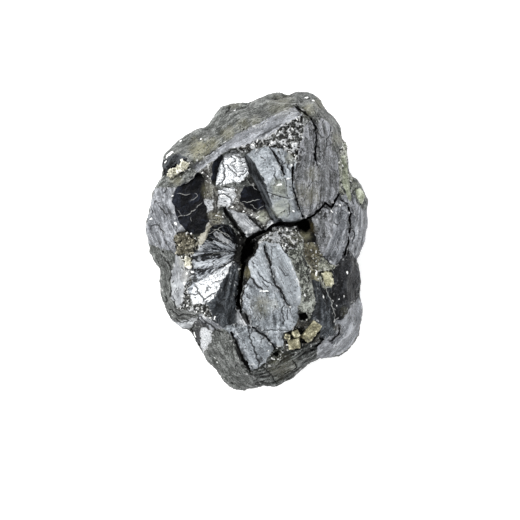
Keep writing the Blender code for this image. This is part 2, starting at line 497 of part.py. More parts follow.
def roughen(mesh, layer):
    """Raise the lumps of the rough facets and the swells of the underside."""
    lumps = [lump for _, lump in FACETS.values()]
    mesh.normal_update()
    moved = []
    for vert in mesh.verts:
        facets = facets_of(vert, layer)
        grain = noise.noise(vert.co / (LUMP_WAVELENGTH * SQUARE)) * LUMP_GAIN
        if max(facets) < len(FACETS):
            height = min(lumps[index] for index in facets) * grain
            moved.append((vert, vert.co + vert.normal * (height * SQUARE)))
        elif min(facets) >= len(FACETS):
            swell = noise.noise(vert.co / (BELLY_SWELL[1] * SQUARE)) * BELLY_SWELL[0]
            height = (BELLY_LUMP * grain + swell - BELLY_LUMP) * SQUARE
            moved.append((vert, chip(vert.co + vert.normal * height)))
        elif RESTING_FACE in facets:
            outward = Vector((vert.normal.x, vert.normal.y, 0.0))
            moved.append((vert, chip(vert.co + outward * (BELLY_LUMP * grain * SQUARE), level_only=True)))
    for vert, spot in moved:
        vert.co = spot


def stone_mesh():
    """The whole stone before any crack, pit or pocket is cut."""
    corners = named_corners()
    settle(corners)
    mesh = bmesh.new()
    layer = mesh.faces.layers.int.new("facet")
    verts = {name: mesh.verts.new(place(*spot)) for name, spot in corners.items()}
    for index, (loop, _) in enumerate(FACETS.values()):
        mesh.faces.new([verts[name] for name in loop.split()])[layer] = index
    belly(mesh, [verts["r%d" % i] for i in range(len(RIM))], layer)
    divide(mesh, layer)
    ease_insides(mesh, layer)
    roughen(mesh, layer)
    bmesh.ops.triangulate(mesh, faces=[f for f in mesh.faces if len(f.verts) > 3])
    bmesh.ops.recalc_face_normals(mesh, faces=mesh.faces)
    return mesh


def add_object(name, mesh, material=None):
    """A named object holding a mesh."""
    data = bpy.data.meshes.new(name)
    mesh.to_mesh(data)
    item = bpy.data.objects.new(name, data)
    bpy.context.scene.collection.objects.link(item)
    if material:
        data.materials.append(material)
    return item


def surface_height(tree, u, v):
    """How high the uncut stone is over a point of the sheet, in squares above the rim."""
    start = place(u, v, ABOVE_ALL)
    spot = tree.ray_cast(start, Vector((0.0, 0.0, -1.0)))[0]
    return spot.z / SQUARE - UNDERSIDE_DEPTH if spot else 0.0


def ragged(path):
    """A crack's path with points between its own ones, each a little off the straight line."""
    points = [path[0]]
    for start, end in zip(path, path[1:]):
        span = Vector((end[0] - start[0], end[1] - start[1]))
        pieces = max(1, round(span.length / CRACK_STEP))
        across = Vector((-span.y, span.x)).normalized()
        for i in range(1, pieces + 1):
            u, v, width = (start[k] + (end[k] - start[k]) * i / pieces for k in range(3))
            if i < pieces:
                stray = CRACK_STRAY * CRACK_SWAY * noise.noise(Vector((u, v, 2.0)) / CRACK_WAVELENGTH)
                u += across.x * stray
                v += across.y * stray
                width *= 1.0 + noise.noise(Vector((v, u, 4.0)) / CRACK_WAVELENGTH)
            points.append((u, v, width))
    return points


def slot_mesh(tree, path, depth):
    """A cutter for a crack: a tapering slot along a path of (u, v, width)."""
    path = ragged(path)
    mesh = bmesh.new()
    sections = []
    for index, (u, v, width) in enumerate(path):
        before = path[max(index - 1, 0)]
        after = path[min(index + 1, len(path) - 1)]
        along = Vector((after[0] - before[0], after[1] - before[1])).normalized()
        across = Vector((-along.y, along.x))
        height = surface_height(tree, u, v)
        section = []
        for side, share, level in (
            (1, SLOT_FLARE, height + OVERSHOOT), (-1, SLOT_FLARE, height + OVERSHOOT),
            (-1, SLOT_TAPER, height - depth), (1, SLOT_TAPER, height - depth),
        ):
            offset = across * (side * share * width / 2.0)
            section.append(mesh.verts.new(place(u + offset.x, v + offset.y, level)))
        sections.append(section)
    for first, second in zip(sections, sections[1:]):
        for i in range(4):
            mesh.faces.new((first[i - 1], first[i], second[i], second[i - 1]))
    mesh.faces.new(sections[0])
    mesh.faces.new(sections[-1])
    bmesh.ops.triangulate(mesh, faces=mesh.faces)
    bmesh.ops.recalc_face_normals(mesh, faces=mesh.faces)
    return mesh


def pit_mesh(tree, outline, depth):
    """A cutter for a pit: an outline that narrows towards its floor."""
    mesh = bmesh.new()
    middle = sum((Vector(point) for point in outline), Vector((0.0, 0.0))) / len(outline)
    lowest = min(surface_height(tree, *point) for point in outline)
    rings = []
    for share, lift in ((PIT_FLARE, OVERSHOOT), (PIT_TAPER, 0.0)):
        ring = []
        for point in outline:
            spot = middle + (Vector(point) - middle) * share
            level = surface_height(tree, *point) + lift if lift else lowest - depth
            ring.append(mesh.verts.new(place(spot.x, spot.y, level)))
        rings.append(ring)
    top, floor = rings
    for i in range(len(outline)):
        mesh.faces.new((top[i - 1], top[i], floor[i], floor[i - 1]))
    mesh.faces.new(top)
    mesh.faces.new(floor)
    bmesh.ops.triangulate(mesh, faces=mesh.faces)
    bmesh.ops.recalc_face_normals(mesh, faces=mesh.faces)
    return mesh


def form_mesh(form, sizes, turn, middle, grow=0.0):
    """A crystal's form at its place: a block, a pointed prism or a pebble, grown on every side if asked."""
    mesh = bmesh.new()
    if form == "block":
        bmesh.ops.create_cube(mesh, size=1.0)
    elif form == "prism":
        bmesh.ops.create_cone(
            mesh, cap_ends=True, segments=6, radius1=PRISM_FOOT, radius2=PRISM_TIP, depth=1.0,
            matrix=Matrix.Rotation(math.radians(90), 4, "Y"))
        ends = set(mesh.verts)
        sides = [edge for edge in mesh.edges if edge.verts[0].co.x * edge.verts[1].co.x < 0.0]
        bmesh.ops.subdivide_edges(mesh, edges=sides, cuts=2)
        for vert in set(mesh.verts) - ends:
            vert.co.x *= PRISM_STRETCH
            vert.co.y *= PRISM_SWELL
            vert.co.z *= PRISM_SWELL
    else:
        bmesh.ops.create_icosphere(mesh, subdivisions=2, radius=0.5)
    scale = Matrix.Diagonal([size * SQUARE + 2.0 * grow for size in sizes] + [1.0])
    heading, pitch, roll = (math.radians(angle) for angle in turn)
    rotation = Matrix.Rotation(heading, 4, "Z") @ Matrix.Rotation(pitch, 4, "Y")
    rotation = rotation @ Matrix.Rotation(roll, 4, "X")
    mesh.transform(Matrix.Translation(middle) @ rotation @ scale)
    bmesh.ops.triangulate(mesh, faces=mesh.faces)
    bmesh.ops.recalc_face_normals(mesh, faces=mesh.faces)
    return mesh


def cut(item, cutter):
    """Take a cutter out of an object, and keep the cutter out of sight."""
    cutter.hide_render = True
    cutter.display_type = "WIRE"
    boolean = item.modifiers.new("cut_" + cutter.name, "BOOLEAN")
    boolean.operation = "DIFFERENCE"
    boolean.solver = "EXACT"
    boolean.object = cutter


def grown_together(name, meshes):
    """Several closed meshes joined in one solid."""
    first = add_object(name, meshes[0])
    others = [add_object("%s_%d" % (name, i), mesh) for i, mesh in enumerate(meshes[1:], 1)]
    for other in others:
        boolean = first.modifiers.new("join_" + other.name, "BOOLEAN")
        boolean.operation = "UNION"
        boolean.solver = "EXACT"
        boolean.object = other
    bpy.context.view_layer.update()
    whole = bpy.data.meshes.new_from_object(first.evaluated_get(bpy.context.evaluated_depsgraph_get()))
    for item in [first] + others:
        bpy.data.objects.remove(item)
    joined = bmesh.new()
    joined.from_mesh(whole)
    return joined


def cluster_meshes(tree, name, grow):
    """The grains of a cluster, each turned its own way."""
    size, spread, rise, middles, _ = CLUSTERS[name]
    dice = np.random.default_rng(CLUSTER_SEED)
    meshes = []
    for u, v in middles:
        sizes = [size + spread * dice.uniform(-1.0, 1.0) for _ in range(3)]
        turn = dice.uniform(-CLUSTER_TURN, CLUSTER_TURN, 3)
        middle = place(u, v, surface_height(tree, u, v) + rise)
        meshes.append(form_mesh("block", sizes, turn, middle, grow))
    return meshes


def make_materials():
    """The four materials, by name."""
    made = {}
    for name, (colour, metallic, roughness) in MATERIALS.items():
        material = bpy.data.materials.new(name)
        material.use_nodes = True
        shader = material.node_tree.nodes["Principled BSDF"]
        shader.inputs["Base Color"].default_value = colour
        shader.inputs["Metallic"].default_value = metallic
        shader.inputs["Roughness"].default_value = roughness
        material.diffuse_color = colour
        made[name] = material
    return made


def build():
    """Make the stone, cut its cracks, pits and seats, and put the crystals in them."""
    for item in list(bpy.data.objects):
        bpy.data.objects.remove(item)
    materials = make_materials()
    mesh = stone_mesh()
    tree = BVHTree.FromBMesh(mesh)
    stone = add_object("ore_body", mesh, materials["stone"])
    for name, (depth, path) in CRACKS.items():
        cut(stone, add_object("crack_" + name, slot_mesh(tree, path, depth)))
    for name, (depth, outline) in PITS.items():
        cut(stone, add_object("pit_" + name, pit_mesh(tree, outline, depth)))
    for name, (form, spot, rise, sizes, turn, material) in CRYSTALS.items():
        middle = place(*spot, surface_height(tree, *spot) + rise)
        add_object(name, form_mesh(form, sizes, turn, middle), materials[material])
        cut(stone, add_object("seat_" + name, form_mesh(form, sizes, turn, middle, SEAT_GAP)))
    for name, cluster in CLUSTERS.items():
        add_object(name, grown_together(name, cluster_meshes(tree, name, 0.0)), materials[cluster[-1]])
        cut(stone, add_object("seat_" + name, grown_together(name, cluster_meshes(tree, name, SEAT_GAP))))


build()
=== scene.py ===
"""Dresses a hand-sized lump of molybdenum ore: mirror and dull cleavage faces, open cracks, veins, crumbled
ledges, a fan of blades and brassy crystals.

Places on the upper side are given on a sheet of squares over the stone (u to the right, v down the sheet).
"""

import math
from collections import namedtuple

import bmesh
import bpy
import numpy as np
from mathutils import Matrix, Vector, noise
from mathutils.bvhtree import BVHTree


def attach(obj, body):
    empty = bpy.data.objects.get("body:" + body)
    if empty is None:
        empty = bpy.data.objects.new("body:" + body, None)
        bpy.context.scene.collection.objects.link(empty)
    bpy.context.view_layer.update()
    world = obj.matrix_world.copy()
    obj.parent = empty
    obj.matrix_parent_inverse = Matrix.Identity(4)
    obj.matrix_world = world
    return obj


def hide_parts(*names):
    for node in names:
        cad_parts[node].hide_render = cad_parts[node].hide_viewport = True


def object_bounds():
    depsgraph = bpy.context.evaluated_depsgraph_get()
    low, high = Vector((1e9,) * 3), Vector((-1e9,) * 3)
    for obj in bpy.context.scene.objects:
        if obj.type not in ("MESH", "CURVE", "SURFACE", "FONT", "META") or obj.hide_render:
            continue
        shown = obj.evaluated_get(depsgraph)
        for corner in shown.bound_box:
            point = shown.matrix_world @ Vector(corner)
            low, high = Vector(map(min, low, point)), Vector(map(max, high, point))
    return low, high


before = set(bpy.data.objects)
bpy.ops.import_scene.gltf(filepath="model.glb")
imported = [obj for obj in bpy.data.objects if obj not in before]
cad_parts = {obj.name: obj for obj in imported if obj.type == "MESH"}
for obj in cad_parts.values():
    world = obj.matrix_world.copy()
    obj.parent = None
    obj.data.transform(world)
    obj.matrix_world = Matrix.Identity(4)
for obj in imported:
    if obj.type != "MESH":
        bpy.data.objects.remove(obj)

CAD_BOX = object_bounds()

bl_info = {
    "name": "Molybdenum ore specimen",
    "version": (1, 0, 0),
    "blender": (4, 5, 0),
    "location": "3D View > Sidebar > Ore",
    "description": "Dresses a broken lump of molybdenum ore: faces, cracks, veins, grains and crystals",
    "category": "Object",
}

# -------- the sheet of squares over the stone
MM = 0.001
SQUARE = (CAD_BOX[1][1] - CAD_BOX[0][1]) / 300
SHEET_CENTRE = (256.0, 241.0)
VIEW_CENTRE = (260.0, 260.0)  # the camera looks at this square
VIEW_SQUARES = 520  # and sees so many across
RIM_LEVEL = 70 * SQUARE  # height of the rim over the resting face
UPPER_FROM = RIM_LEVEL - 4.0 * MM  # the upper side's faces reach down to here
LEAST_UPWARD = -0.05  # and aren't drawn on what faces further down than this

# -------- faces of the upper side
# (face, outline on the sheet). A later face lies over an earlier one; what is in none of them is bare rock.
FACES = (
    ("nook", ((163, 176), (162, 163), (168, 158), (180, 154), (188, 160), (180, 170), (170, 176))),
    ("ledge", ((156, 188), (163, 176), (178, 177), (192, 168), (205, 158), (207, 166), (198, 173), (190, 181),
        (177, 188))),
    ("band", ((192, 168), (205, 158), (222, 147), (240, 134), (262, 123), (280, 114), (296, 108), (302, 117),
        (290, 123), (276, 133), (262, 141), (250, 145), (235, 149), (222, 155), (214, 162), (207, 166),
        (198, 173))),
    ("knob", ((296, 108), (295, 92), (305, 91), (313, 94), (321, 100), (327, 112), (321, 119), (317, 128),
        (311, 121), (302, 117))),
    ("crumble", ((235, 149), (250, 145), (262, 141), (276, 133), (290, 123), (302, 117), (304, 130),
        (300, 148), (296, 164), (292, 158), (284, 152), (270, 148), (256, 150), (246, 156))),
    ("front", ((246, 156), (256, 150), (270, 148), (284, 152), (292, 158), (296, 164), (293, 182), (297, 198),
        (290, 200), (278, 197), (267, 191), (262, 177), (256, 166))),
    ("front_foot", ((267, 191), (278, 197), (290, 200), (297, 198), (301, 213), (302, 221), (294, 225),
        (285, 225), (278, 218), (272, 207))),
    ("east", ((304, 130), (311, 121), (317, 128), (321, 119), (333, 128), (331, 150), (337, 155), (338, 168),
        (338, 185), (340, 199), (335, 202), (331, 208), (326, 204), (320, 209), (311, 217), (302, 221),
        (301, 213), (297, 198), (293, 182), (296, 164), (300, 148))),
    ("strip", ((341, 147), (341, 139), (346, 146), (349, 158), (348, 168), (351, 178), (353, 180), (350, 192),
        (340, 199), (338, 185), (338, 155))),
    ("crown", ((353, 179), (358, 180), (364, 188), (368, 198), (367, 213), (358, 205), (350, 192))),
    ("dark_wall", ((246, 156), (256, 166), (262, 177), (267, 191), (272, 207), (278, 218), (285, 225),
        (275, 228), (271, 220), (266, 209), (262, 198), (256, 186), (249, 174), (245, 159))),
    ("rib", ((198, 173), (207, 166), (214, 162), (212, 184), (216, 187), (218, 190), (218, 204), (219, 212),
        (213, 210), (213, 200), (204, 200), (205, 190), (204, 178), (199, 177))),
    ("sliver", ((214, 162), (222, 155), (223, 158), (219, 172), (216, 187), (212, 184))),
    ("bright_mirror", ((223, 158), (236, 152), (245, 159), (249, 174), (241, 184), (232, 183), (216, 187),
        (219, 172))),
    ("bright_cells", ((218, 190), (234, 188), (236, 198), (232, 206), (227, 210), (218, 204))),
    ("shelf", ((227, 210), (232, 206), (236, 198), (234, 188), (243, 189), (240, 202), (248, 209), (248, 215),
        (238, 213))),
    ("small_dark", ((243, 189), (251, 186), (256, 186), (262, 198), (266, 209), (257, 213), (248, 209),
        (240, 202))),
    ("small_pale", ((248, 209), (257, 213), (266, 209), (271, 220), (262, 232), (256, 222), (248, 215))),
    ("pale_face", ((227, 210), (238, 213), (248, 215), (256, 222), (262, 232), (249, 240), (243, 233),
        (235, 222))),
    ("white_chip", ((271, 220), (275, 228), (262, 232))),
    ("white_chip", ((204, 200), (213, 200), (213, 210), (207, 213))),
    ("dark_mirror", ((177, 188), (190, 181), (198, 173), (204, 178), (205, 190), (204, 200), (207, 213),
        (209, 222), (205, 232), (197, 239), (186, 231), (180, 224), (175, 211), (172, 202))),
    ("matrix", ((207, 213), (213, 210), (219, 212), (225, 218), (221, 224), (212, 227), (209, 222))),
    ("left_face", ((156, 188), (177, 188), (172, 202), (175, 211), (180, 224), (186, 231), (178, 236),
        (175, 244), (177, 254), (162, 249), (147, 243), (144, 231), (149, 213), (151, 201))),
    ("rod", ((209, 222), (212, 227), (206, 240), (199, 249), (197, 239), (205, 232))),
    ("nest", ((186, 231), (197, 239), (199, 249), (192, 257), (191, 269), (184, 262), (177, 254), (175, 244),
        (178, 236))),
    ("fan_dark", ((212, 227), (221, 224), (231, 227), (236, 236), (238, 245), (206, 240))),
    ("blade", ((213, 233), (217, 231), (227, 239), (238, 248), (236, 250), (225, 245), (216, 238))),
    ("fan", ((206, 240), (238, 245), (235, 253), (233, 261), (219, 265), (205, 270), (191, 269), (192, 257),
        (199, 249))),
    ("lip", ((186, 284), (191, 269), (205, 270), (219, 265), (233, 261), (220, 271), (207, 278), (195, 284),
        (190, 295))),
    ("low_mirror", ((233, 261), (228, 273), (220, 287), (214, 298), (206, 304), (194, 304), (190, 295),
        (195, 284), (207, 278), (220, 271))),
    ("crumbs", ((186, 284), (190, 295), (194, 304), (206, 304), (210, 309), (212, 320), (200, 314),
        (190, 311), (177, 309), (184, 300))),
    ("left_strip", ((177, 254), (184, 262), (191, 269), (186, 284), (184, 300), (177, 309), (171, 298),
        (171, 276))),
    ("left_low", ((147, 243), (162, 249), (177, 254), (171, 276), (171, 298), (177, 309), (170, 319),
        (165, 305), (161, 292), (160, 272), (152, 257))),
    ("painted_shade_grey", ((233, 261), (241, 268), (240, 280), (238, 296), (237, 310), (235, 323), (223, 328), (212, 320),
        (210, 309), (206, 304), (214, 298), (220, 287), (228, 273))),
    # black: painted shade in the gorge and on the block's shaded north wall
    ("black", ((243, 233), (249, 240), (259, 239), (258, 249), (254, 256), (248, 263), (250, 278), (246, 284),
        (242, 296), (242, 309), (237, 310), (238, 296), (240, 280), (241, 268), (233, 261), (235, 253),
        (238, 245), (236, 236))),
    ("black", ((249, 240), (262, 232), (275, 228), (268, 234), (259, 239))),
    ("ledge_dark", ((177, 309), (190, 311), (200, 314), (199, 316), (188, 320), (177, 321), (170, 319))),
    ("ledge_light", ((170, 319), (177, 321), (188, 320), (199, 316), (197, 322), (193, 327), (181, 328))),
    ("ledge_pale", ((200, 314), (212, 320), (223, 328), (213, 331), (207, 325), (199, 318))),
    ("ledge_hole", ((199, 318), (207, 325), (213, 331), (204, 327), (193, 327), (197, 322))),
    ("pale_chip", ((201, 328), (204, 327), (213, 331), (212, 340), (208, 348), (204, 353), (201, 345),
        (200, 336))),
    ("ledge_hole", ((192, 327), (201, 328), (200, 336), (201, 345), (204, 353), (197, 344))),
    ("lobe", ((213, 331), (223, 328), (232, 336), (239, 350), (246, 362), (251, 372), (253, 381), (256, 387),
        (242, 391), (230, 388), (221, 377), (215, 367), (208, 362), (203, 354), (205, 352), (212, 343))),
    ("lower_face", ((223, 328), (235, 323), (252, 327), (264, 335), (274, 347), (272, 352), (266, 362),
        (258, 367), (251, 372), (246, 362), (239, 350), (232, 336))),
    ("foot", ((237, 310), (242, 309), (248, 314), (252, 327), (235, 323))),
    ("block", ((262, 243), (271, 243), (279, 244), (286, 253), (291, 262), (296, 275), (300, 290), (300, 303),
        (289, 305), (280, 290), (261, 291), (250, 278), (248, 263), (254, 256), (258, 249))),
    ("block_low", ((250, 278), (261, 291), (280, 290), (289, 305), (300, 303), (297, 306), (298, 319),
        (292, 329), (283, 333), (283, 345), (274, 347), (264, 335), (252, 327), (248, 314), (242, 309),
        (242, 296), (246, 284))),
    ("block_head", ((259, 239), (268, 234), (275, 228), (285, 225), (294, 225), (299, 233), (303, 243),
        (286, 253), (279, 244), (271, 243), (262, 243), (258, 249))),
    ("white_chip", ((277, 231), (281, 243), (271, 243), (270, 239))),
    ("pocket", ((294, 225), (302, 221), (311, 217), (313, 231), (316, 243), (303, 243), (299, 233))),
    ("golden", ((303, 243), (316, 243), (322, 257), (318, 266), (318, 281), (311, 280), (308, 265),
        (303, 255))),
    ("flank", ((286, 253), (303, 243), (303, 255), (308, 265), (311, 280), (314, 296), (314, 308), (310, 319),
        (303, 322), (298, 319), (297, 306), (300, 303), (300, 290), (296, 275), (291, 262))),
    ("east_low", ((311, 217), (320, 209), (326, 204), (331, 208), (332, 236), (322, 257), (316, 243),
        (313, 231))),
    ("silk", ((331, 208), (335, 202), (340, 199), (348, 206), (349, 222), (348, 240), (346, 250), (342, 258),
        (335, 266), (329, 264), (322, 257), (332, 236))),
    ("pale_crumb", ((322, 257), (329, 264), (335, 266), (331, 276), (331, 288), (324, 290), (318, 281),
        (318, 266))),
    ("wedge", ((318, 281), (324, 290), (331, 288), (332, 304), (334, 321), (336, 333), (327, 338), (320, 341),
        (319, 329), (310, 319), (314, 308), (314, 296), (311, 280))),
    ("dark_lobe", ((346, 250), (353, 256), (356, 260), (360, 273), (361, 284), (359, 296), (350, 308),
        (342, 319), (334, 321), (332, 304), (331, 288), (331, 276), (335, 266), (342, 258))),
    ("right_edge", ((340, 199), (350, 192), (358, 205), (367, 213), (368, 223), (366, 240), (361, 251),
        (356, 260), (353, 256), (346, 250), (348, 240), (349, 222), (348, 206))),
    ("corner", ((334, 321), (342, 319), (350, 308), (359, 296), (362, 302), (362, 317), (359, 333),
        (351, 346), (340, 354), (328, 358), (316, 358), (320, 341), (327, 338), (336, 333))),
    ("pyrite_bed", ((283, 333), (292, 329), (298, 319), (303, 322), (310, 319), (319, 329), (320, 341),
        (308, 343), (300, 349), (284, 350), (283, 345))),
    ("bottom", ((274, 347), (283, 345), (284, 350), (300, 349), (308, 343), (320, 341), (316, 358),
        (310, 363), (300, 369), (292, 379), (276, 388), (264, 384), (256, 387), (253, 381), (251, 372),
        (258, 367), (266, 362), (272, 352))),
)

# -------- fine lines of the upper side
# (width in squares, path). Cracks are cut in and dark, veins stand proud, flecks are short bright scales.
CRACKS = (
    (3.0, ((240, 311), (243, 316), (247, 322), (250, 328))),
    (3.4, ((236, 346), (239, 353), (243, 360), (249, 370))),
    (1.3, ((170, 309), (178, 316), (188, 315), (199, 315))),
    (1.5, ((199, 316), (207, 323), (215, 329), (224, 333))),
    (1.3, ((199, 317), (194, 324), (191, 329), (196, 341), (202, 351))),
    (0.9, ((171, 320), (182, 323), (193, 321))),
    (1.5, ((264, 243), (264.5, 252), (267, 258), (270, 263), (270.5, 269))),
    (1.3, ((273, 268), (273.5, 279), (275, 285), (279, 288), (280, 292), (284, 298), (286, 303), (288, 305),
        (291, 305))), (2.4, ((250, 277), (254, 282), (258, 287.5), (263, 290.5))),
    (1.0, ((258, 271), (260, 276), (264, 280), (268, 282.5), (272, 285), (275, 287))),
    (0.8, ((262, 281), (265, 285), (268, 290))), (1.3, ((280, 245), (284, 251), (289, 257))),
    (0.6, ((270, 246), (272, 255), (271, 262), (270.5, 268))),
    (1.1, ((284, 300), (282, 307), (281.5, 312), (283, 318), (283, 325))),
    (0.8, ((287, 306), (287, 313), (286.5, 320))), (0.7, ((278, 266), (282, 271), (285, 276), (288, 275))),
    (0.7, ((245, 293), (247, 297), (251, 298))), (0.8, ((252, 327), (262, 331), (276, 330), (290, 331))),
    (0.9, ((313, 128), (313, 140), (314, 150))), (1.0, ((316, 127), (318, 133), (322, 139))),
    (0.9, ((317, 135), (317.5, 148))), (1.0, ((330, 131), (326, 140), (325, 151))),
    (1.8, ((319, 157), (319.6, 158.5))), (1.5, ((320, 152), (320.5, 153.5))),
    (1.1, ((267, 193), (270, 194), (275, 196), (280, 198), (285, 199), (292, 199))),
    (1.2, ((288, 161), (287, 169), (292, 174))), (0.7, ((273, 168), (275, 178), (276, 182))),
    (0.8, ((288, 204), (289, 212), (287, 218))), (1.6, ((292, 172), (293, 175))),
    (1.4, ((289, 187), (290, 189))), (1.3, ((224, 168), (224, 174), (225, 178), (223, 181), (218, 185.5))),
    (0.9, ((227, 165), (229, 169), (233, 172), (237, 176.5), (240, 177.5), (244, 175), (248, 171))),
    (0.6, ((231, 166), (235, 169.5), (238, 173), (243, 172), (247, 168))),
    (1.0, ((233, 181), (236, 183), (241, 183.5), (245, 181.5), (248, 179))),
    (1.1, ((221, 156), (223, 160), (222, 164), (223, 168))),
    (0.7, ((227, 158), (231, 156.5), (233, 158.5), (236, 162), (232, 164))),
    (0.8, ((236, 154), (237, 158), (241, 159), (246, 158))), (0.5, ((239, 162), (243, 164), (246, 163))),
    (1.4, ((218, 196.5), (222, 195), (226, 195.5), (230, 198), (232, 202), (231.5, 206))),
    (1.1, ((217, 190.5), (222, 190.5), (226, 191.5))), (0.9, ((224, 187), (229, 188), (234, 189.5))),
    (1.3, ((195, 285), (197, 291), (200, 294), (203, 297), (203, 302))),
    (1.0, ((190, 294), (196, 294.5), (200, 294))), (1.2, ((206, 298.5), (210, 295.5), (216, 292.5))),
    (1.6, ((204, 306), (206, 303), (208, 300))), (0.7, ((212, 284), (217, 281), (221, 280), (226, 277))),
    (0.5, ((206, 288.5), (209, 286))), (0.5, ((205, 292.5), (209, 289.5))), (0.5, ((214, 286), (217, 288))),
    (1.2, ((247, 326), (249, 336), (252, 345), (255, 352), (257, 359))),
    (1.0, ((255, 358), (259, 363), (257, 369))), (1.6, ((171, 273), (169, 281))),
    (1.4, ((165, 296), (167, 302))), (1.3, ((171, 289), (170, 297))),
    (0.9, ((173, 296), (175, 305), (176, 311))), (0.9, ((161, 255), (166, 261), (171, 271))),
    (1.3, ((180, 304), (184, 308.5))), (1.8, ((176, 310), (181, 311.5))),
    (1.5, ((158, 205), (161, 209), (164, 213), (167, 219))), (1.2, ((167.5, 189), (163, 193))),
    (1.1, ((151, 207), (153, 214))), (1.2, ((151, 226), (157, 225), (160, 229), (165, 232.5))),
    (1.6, ((161.5, 251), (164, 252.5))), (1.0, ((171, 224), (174, 229))),
    (1.4, ((316, 254), (320, 256), (325, 259), (328, 262), (331, 265))),
    (1.2, ((334, 266), (332, 269), (334, 272))),
    (1.4, ((320, 279), (320, 286), (322, 291), (325, 298), (327, 306), (328, 312))),
    (1.8, ((349, 249), (347, 255))), (1.6, ((205, 157), (210, 154.5), (216, 151.5))),
    (1.4, ((219, 148), (222, 146))), (1.8, ((274, 100), (278, 98.5))),
    (2.2, ((295, 108), (298, 111), (300, 114))), (1.4, ((226, 114), (231, 107))),
    (1.2, ((343, 147), (337, 153))), (1.5, ((353, 192), (352, 200), (354, 206))),
    (1.2, ((351, 224), (354, 232), (352, 244))), (1.3, ((246, 369), (248, 371))),
    (1.5, ((231, 382), (233, 384))), (1.6, ((178, 236), (180, 237))), (1.2, ((176, 318), (180, 323))),
    (0.8, ((300, 256), (305, 262), (308, 272))), (1.0, ((285, 355), (280, 362), (272, 368))),
    (1.2, ((262, 366), (270, 374), (276, 382))), (0.9, ((292, 360), (296, 366), (290, 372))),
)
VEINS = (
    (0.9, ((177, 194), (180, 193.5), (183, 194.5), (186, 195.5), (188, 195), (191, 194))),
    (0.8, ((190, 202), (194, 200), (198, 196.5), (197, 194), (194, 193.5))),
    (1.1, ((178, 217.5), (183, 216), (187, 215.5), (191, 213.5), (194, 211), (197, 208), (200, 205),
        (203, 203))), (0.6, ((177, 210), (180, 213), (182, 215.5))), (0.7, ((191, 217), (192, 222))),
    (0.6, ((193, 239), (196, 240), (199, 238))), (1.3, ((185, 184), (189, 182), (194, 178), (197, 173))),
    (1.1, ((242, 202), (247, 203), (251, 202), (255, 201), (260, 200))),
    (0.9, ((250, 205), (254, 208), (258, 210))), (0.8, ((258, 210), (260, 208), (264, 206))),
    (1.0, ((247.5, 181), (250, 185), (254, 189), (258, 191))), (0.8, ((159, 231), (164, 233), (167, 235.5))),
    (0.8, ((214, 235), (222, 233), (230, 237))), (0.7, ((209, 238), (218, 240), (229, 245))),
    (1.0, ((345, 170), (341, 176))), (0.9, ((352, 196), (353, 210), (355, 222))),
    (1.3, ((321, 281), (326, 291), (330, 301), (333, 311), (334, 319))),
    (0.9, ((232, 336), (239, 349), (245, 360))), (0.8, ((206, 237), (214, 231), (224, 226))),
    (0.8, ((212, 229), (222, 232), (233, 240))), (0.7, ((207, 243), (219, 242), (232, 246))),
    (1.2, ((256, 130.5), (264, 126), (270, 122))), (1.2, ((187, 291), (190, 287), (191, 283))),
    (0.8, ((345, 256), (347, 250), (347, 246))), (0.7, ((208, 256), (220, 253), (232, 254))),
)
FLECKS = (
    (4.2, ((167, 157.5), (170, 155.5), (173, 153.0))), (1.6, ((165, 163), (167, 161))),
    (1.2, ((268, 350), (270, 349))), (1.5, ((271, 357), (275, 359))), (1.3, ((281, 350), (283, 352))),
    (1.0, ((279, 358), (281, 356))), (1.2, ((276, 348), (278, 347))), (2.0, ((180, 141.5), (182, 141.5))),
    (1.8, ((200.5, 139.5), (202, 140))), (2.4, ((167, 154), (172, 152), (175, 156))),
    (1.8, ((276, 186.5), (281, 185))), (1.7, ((286, 180), (291, 179))),
    (1.9, ((260, 291.2), (264, 291.5), (268, 291))), (2.4, ((205, 98), (206, 98.5))),
    (2.6, ((305.5, 98.5), (308, 98))), (2.2, ((312, 101), (314, 102))),
    (1.2, ((150, 219.5), (152, 218.5), (153.5, 220.5))),
    (1.2, ((213, 356), (215, 357), (217, 360), (217.5, 363))), (1.4, ((346, 271.5), (347, 274))),
    (1.4, ((343.3, 295), (343.6, 297.5))), (1.1, ((335.5, 304.5), (336.5, 305.5))),
    (1.1, ((338, 298.5), (338.6, 299))), (1.7, ((191, 233), (191.5, 234))),
    (2.6, ((191, 271.5), (193.5, 272))), (1.9, ((187, 273), (187.5, 274))),
    (2.4, ((184.5, 282), (185, 284.5))), (1.9, ((175, 223), (177, 225), (178, 226))),
    (1.6, ((174, 217), (175.5, 219))), (1.6, ((172, 196.5), (174, 196))),
    (1.8, ((345, 191), (347, 188), (349, 187))), (1.8, ((331, 211), (332, 213))),
    (1.7, ((335, 212), (336, 214.5))), (1.4, ((339, 205), (340, 207))), (1.4, ((321, 294), (323, 298))),
    (2.2, ((304, 293), (305, 296))), (1.6, ((315, 270), (316, 276))), (1.8, ((215, 316), (214.5, 319))),
    (1.6, ((280, 354), (281, 354.5))), (1.5, ((277, 358.5), (278, 358))), (1.4, ((269, 354), (270.5, 355))),
    (1.8, ((195, 332), (196, 337))), (1.5, ((198, 350), (200, 346))), (1.5, ((162, 177), (161, 182))),
    (1.4, ((234, 112), (236, 110))), (1.2, ((241, 130), (244, 130.5))), (1.4, ((292, 211), (294, 212))),
    (1.6, ((297, 204), (300, 210))),
)
JAG_LENGTH = 2.2  # between the bends that a break has, in squares
JAG = 0.5  # how far a break strays at them, in squares
JAG_PLACES = (7.3, 9.1, 0.5)  # which of the noise's cells give the bends
OUTSIDE = -2.0  # a line's value where it is further off than this, in squares
CRACK_LINE = (0.80, 0.8)  # a crack's share of its drawn width, and how much it thins at its ends
VEIN_LINE = (0.75, 0.6)
FLECK_LINE = (0.75, 0.3)
FLECK_DROP = 1.0  # a fleck fades on what lies further above or below its middle, in squares

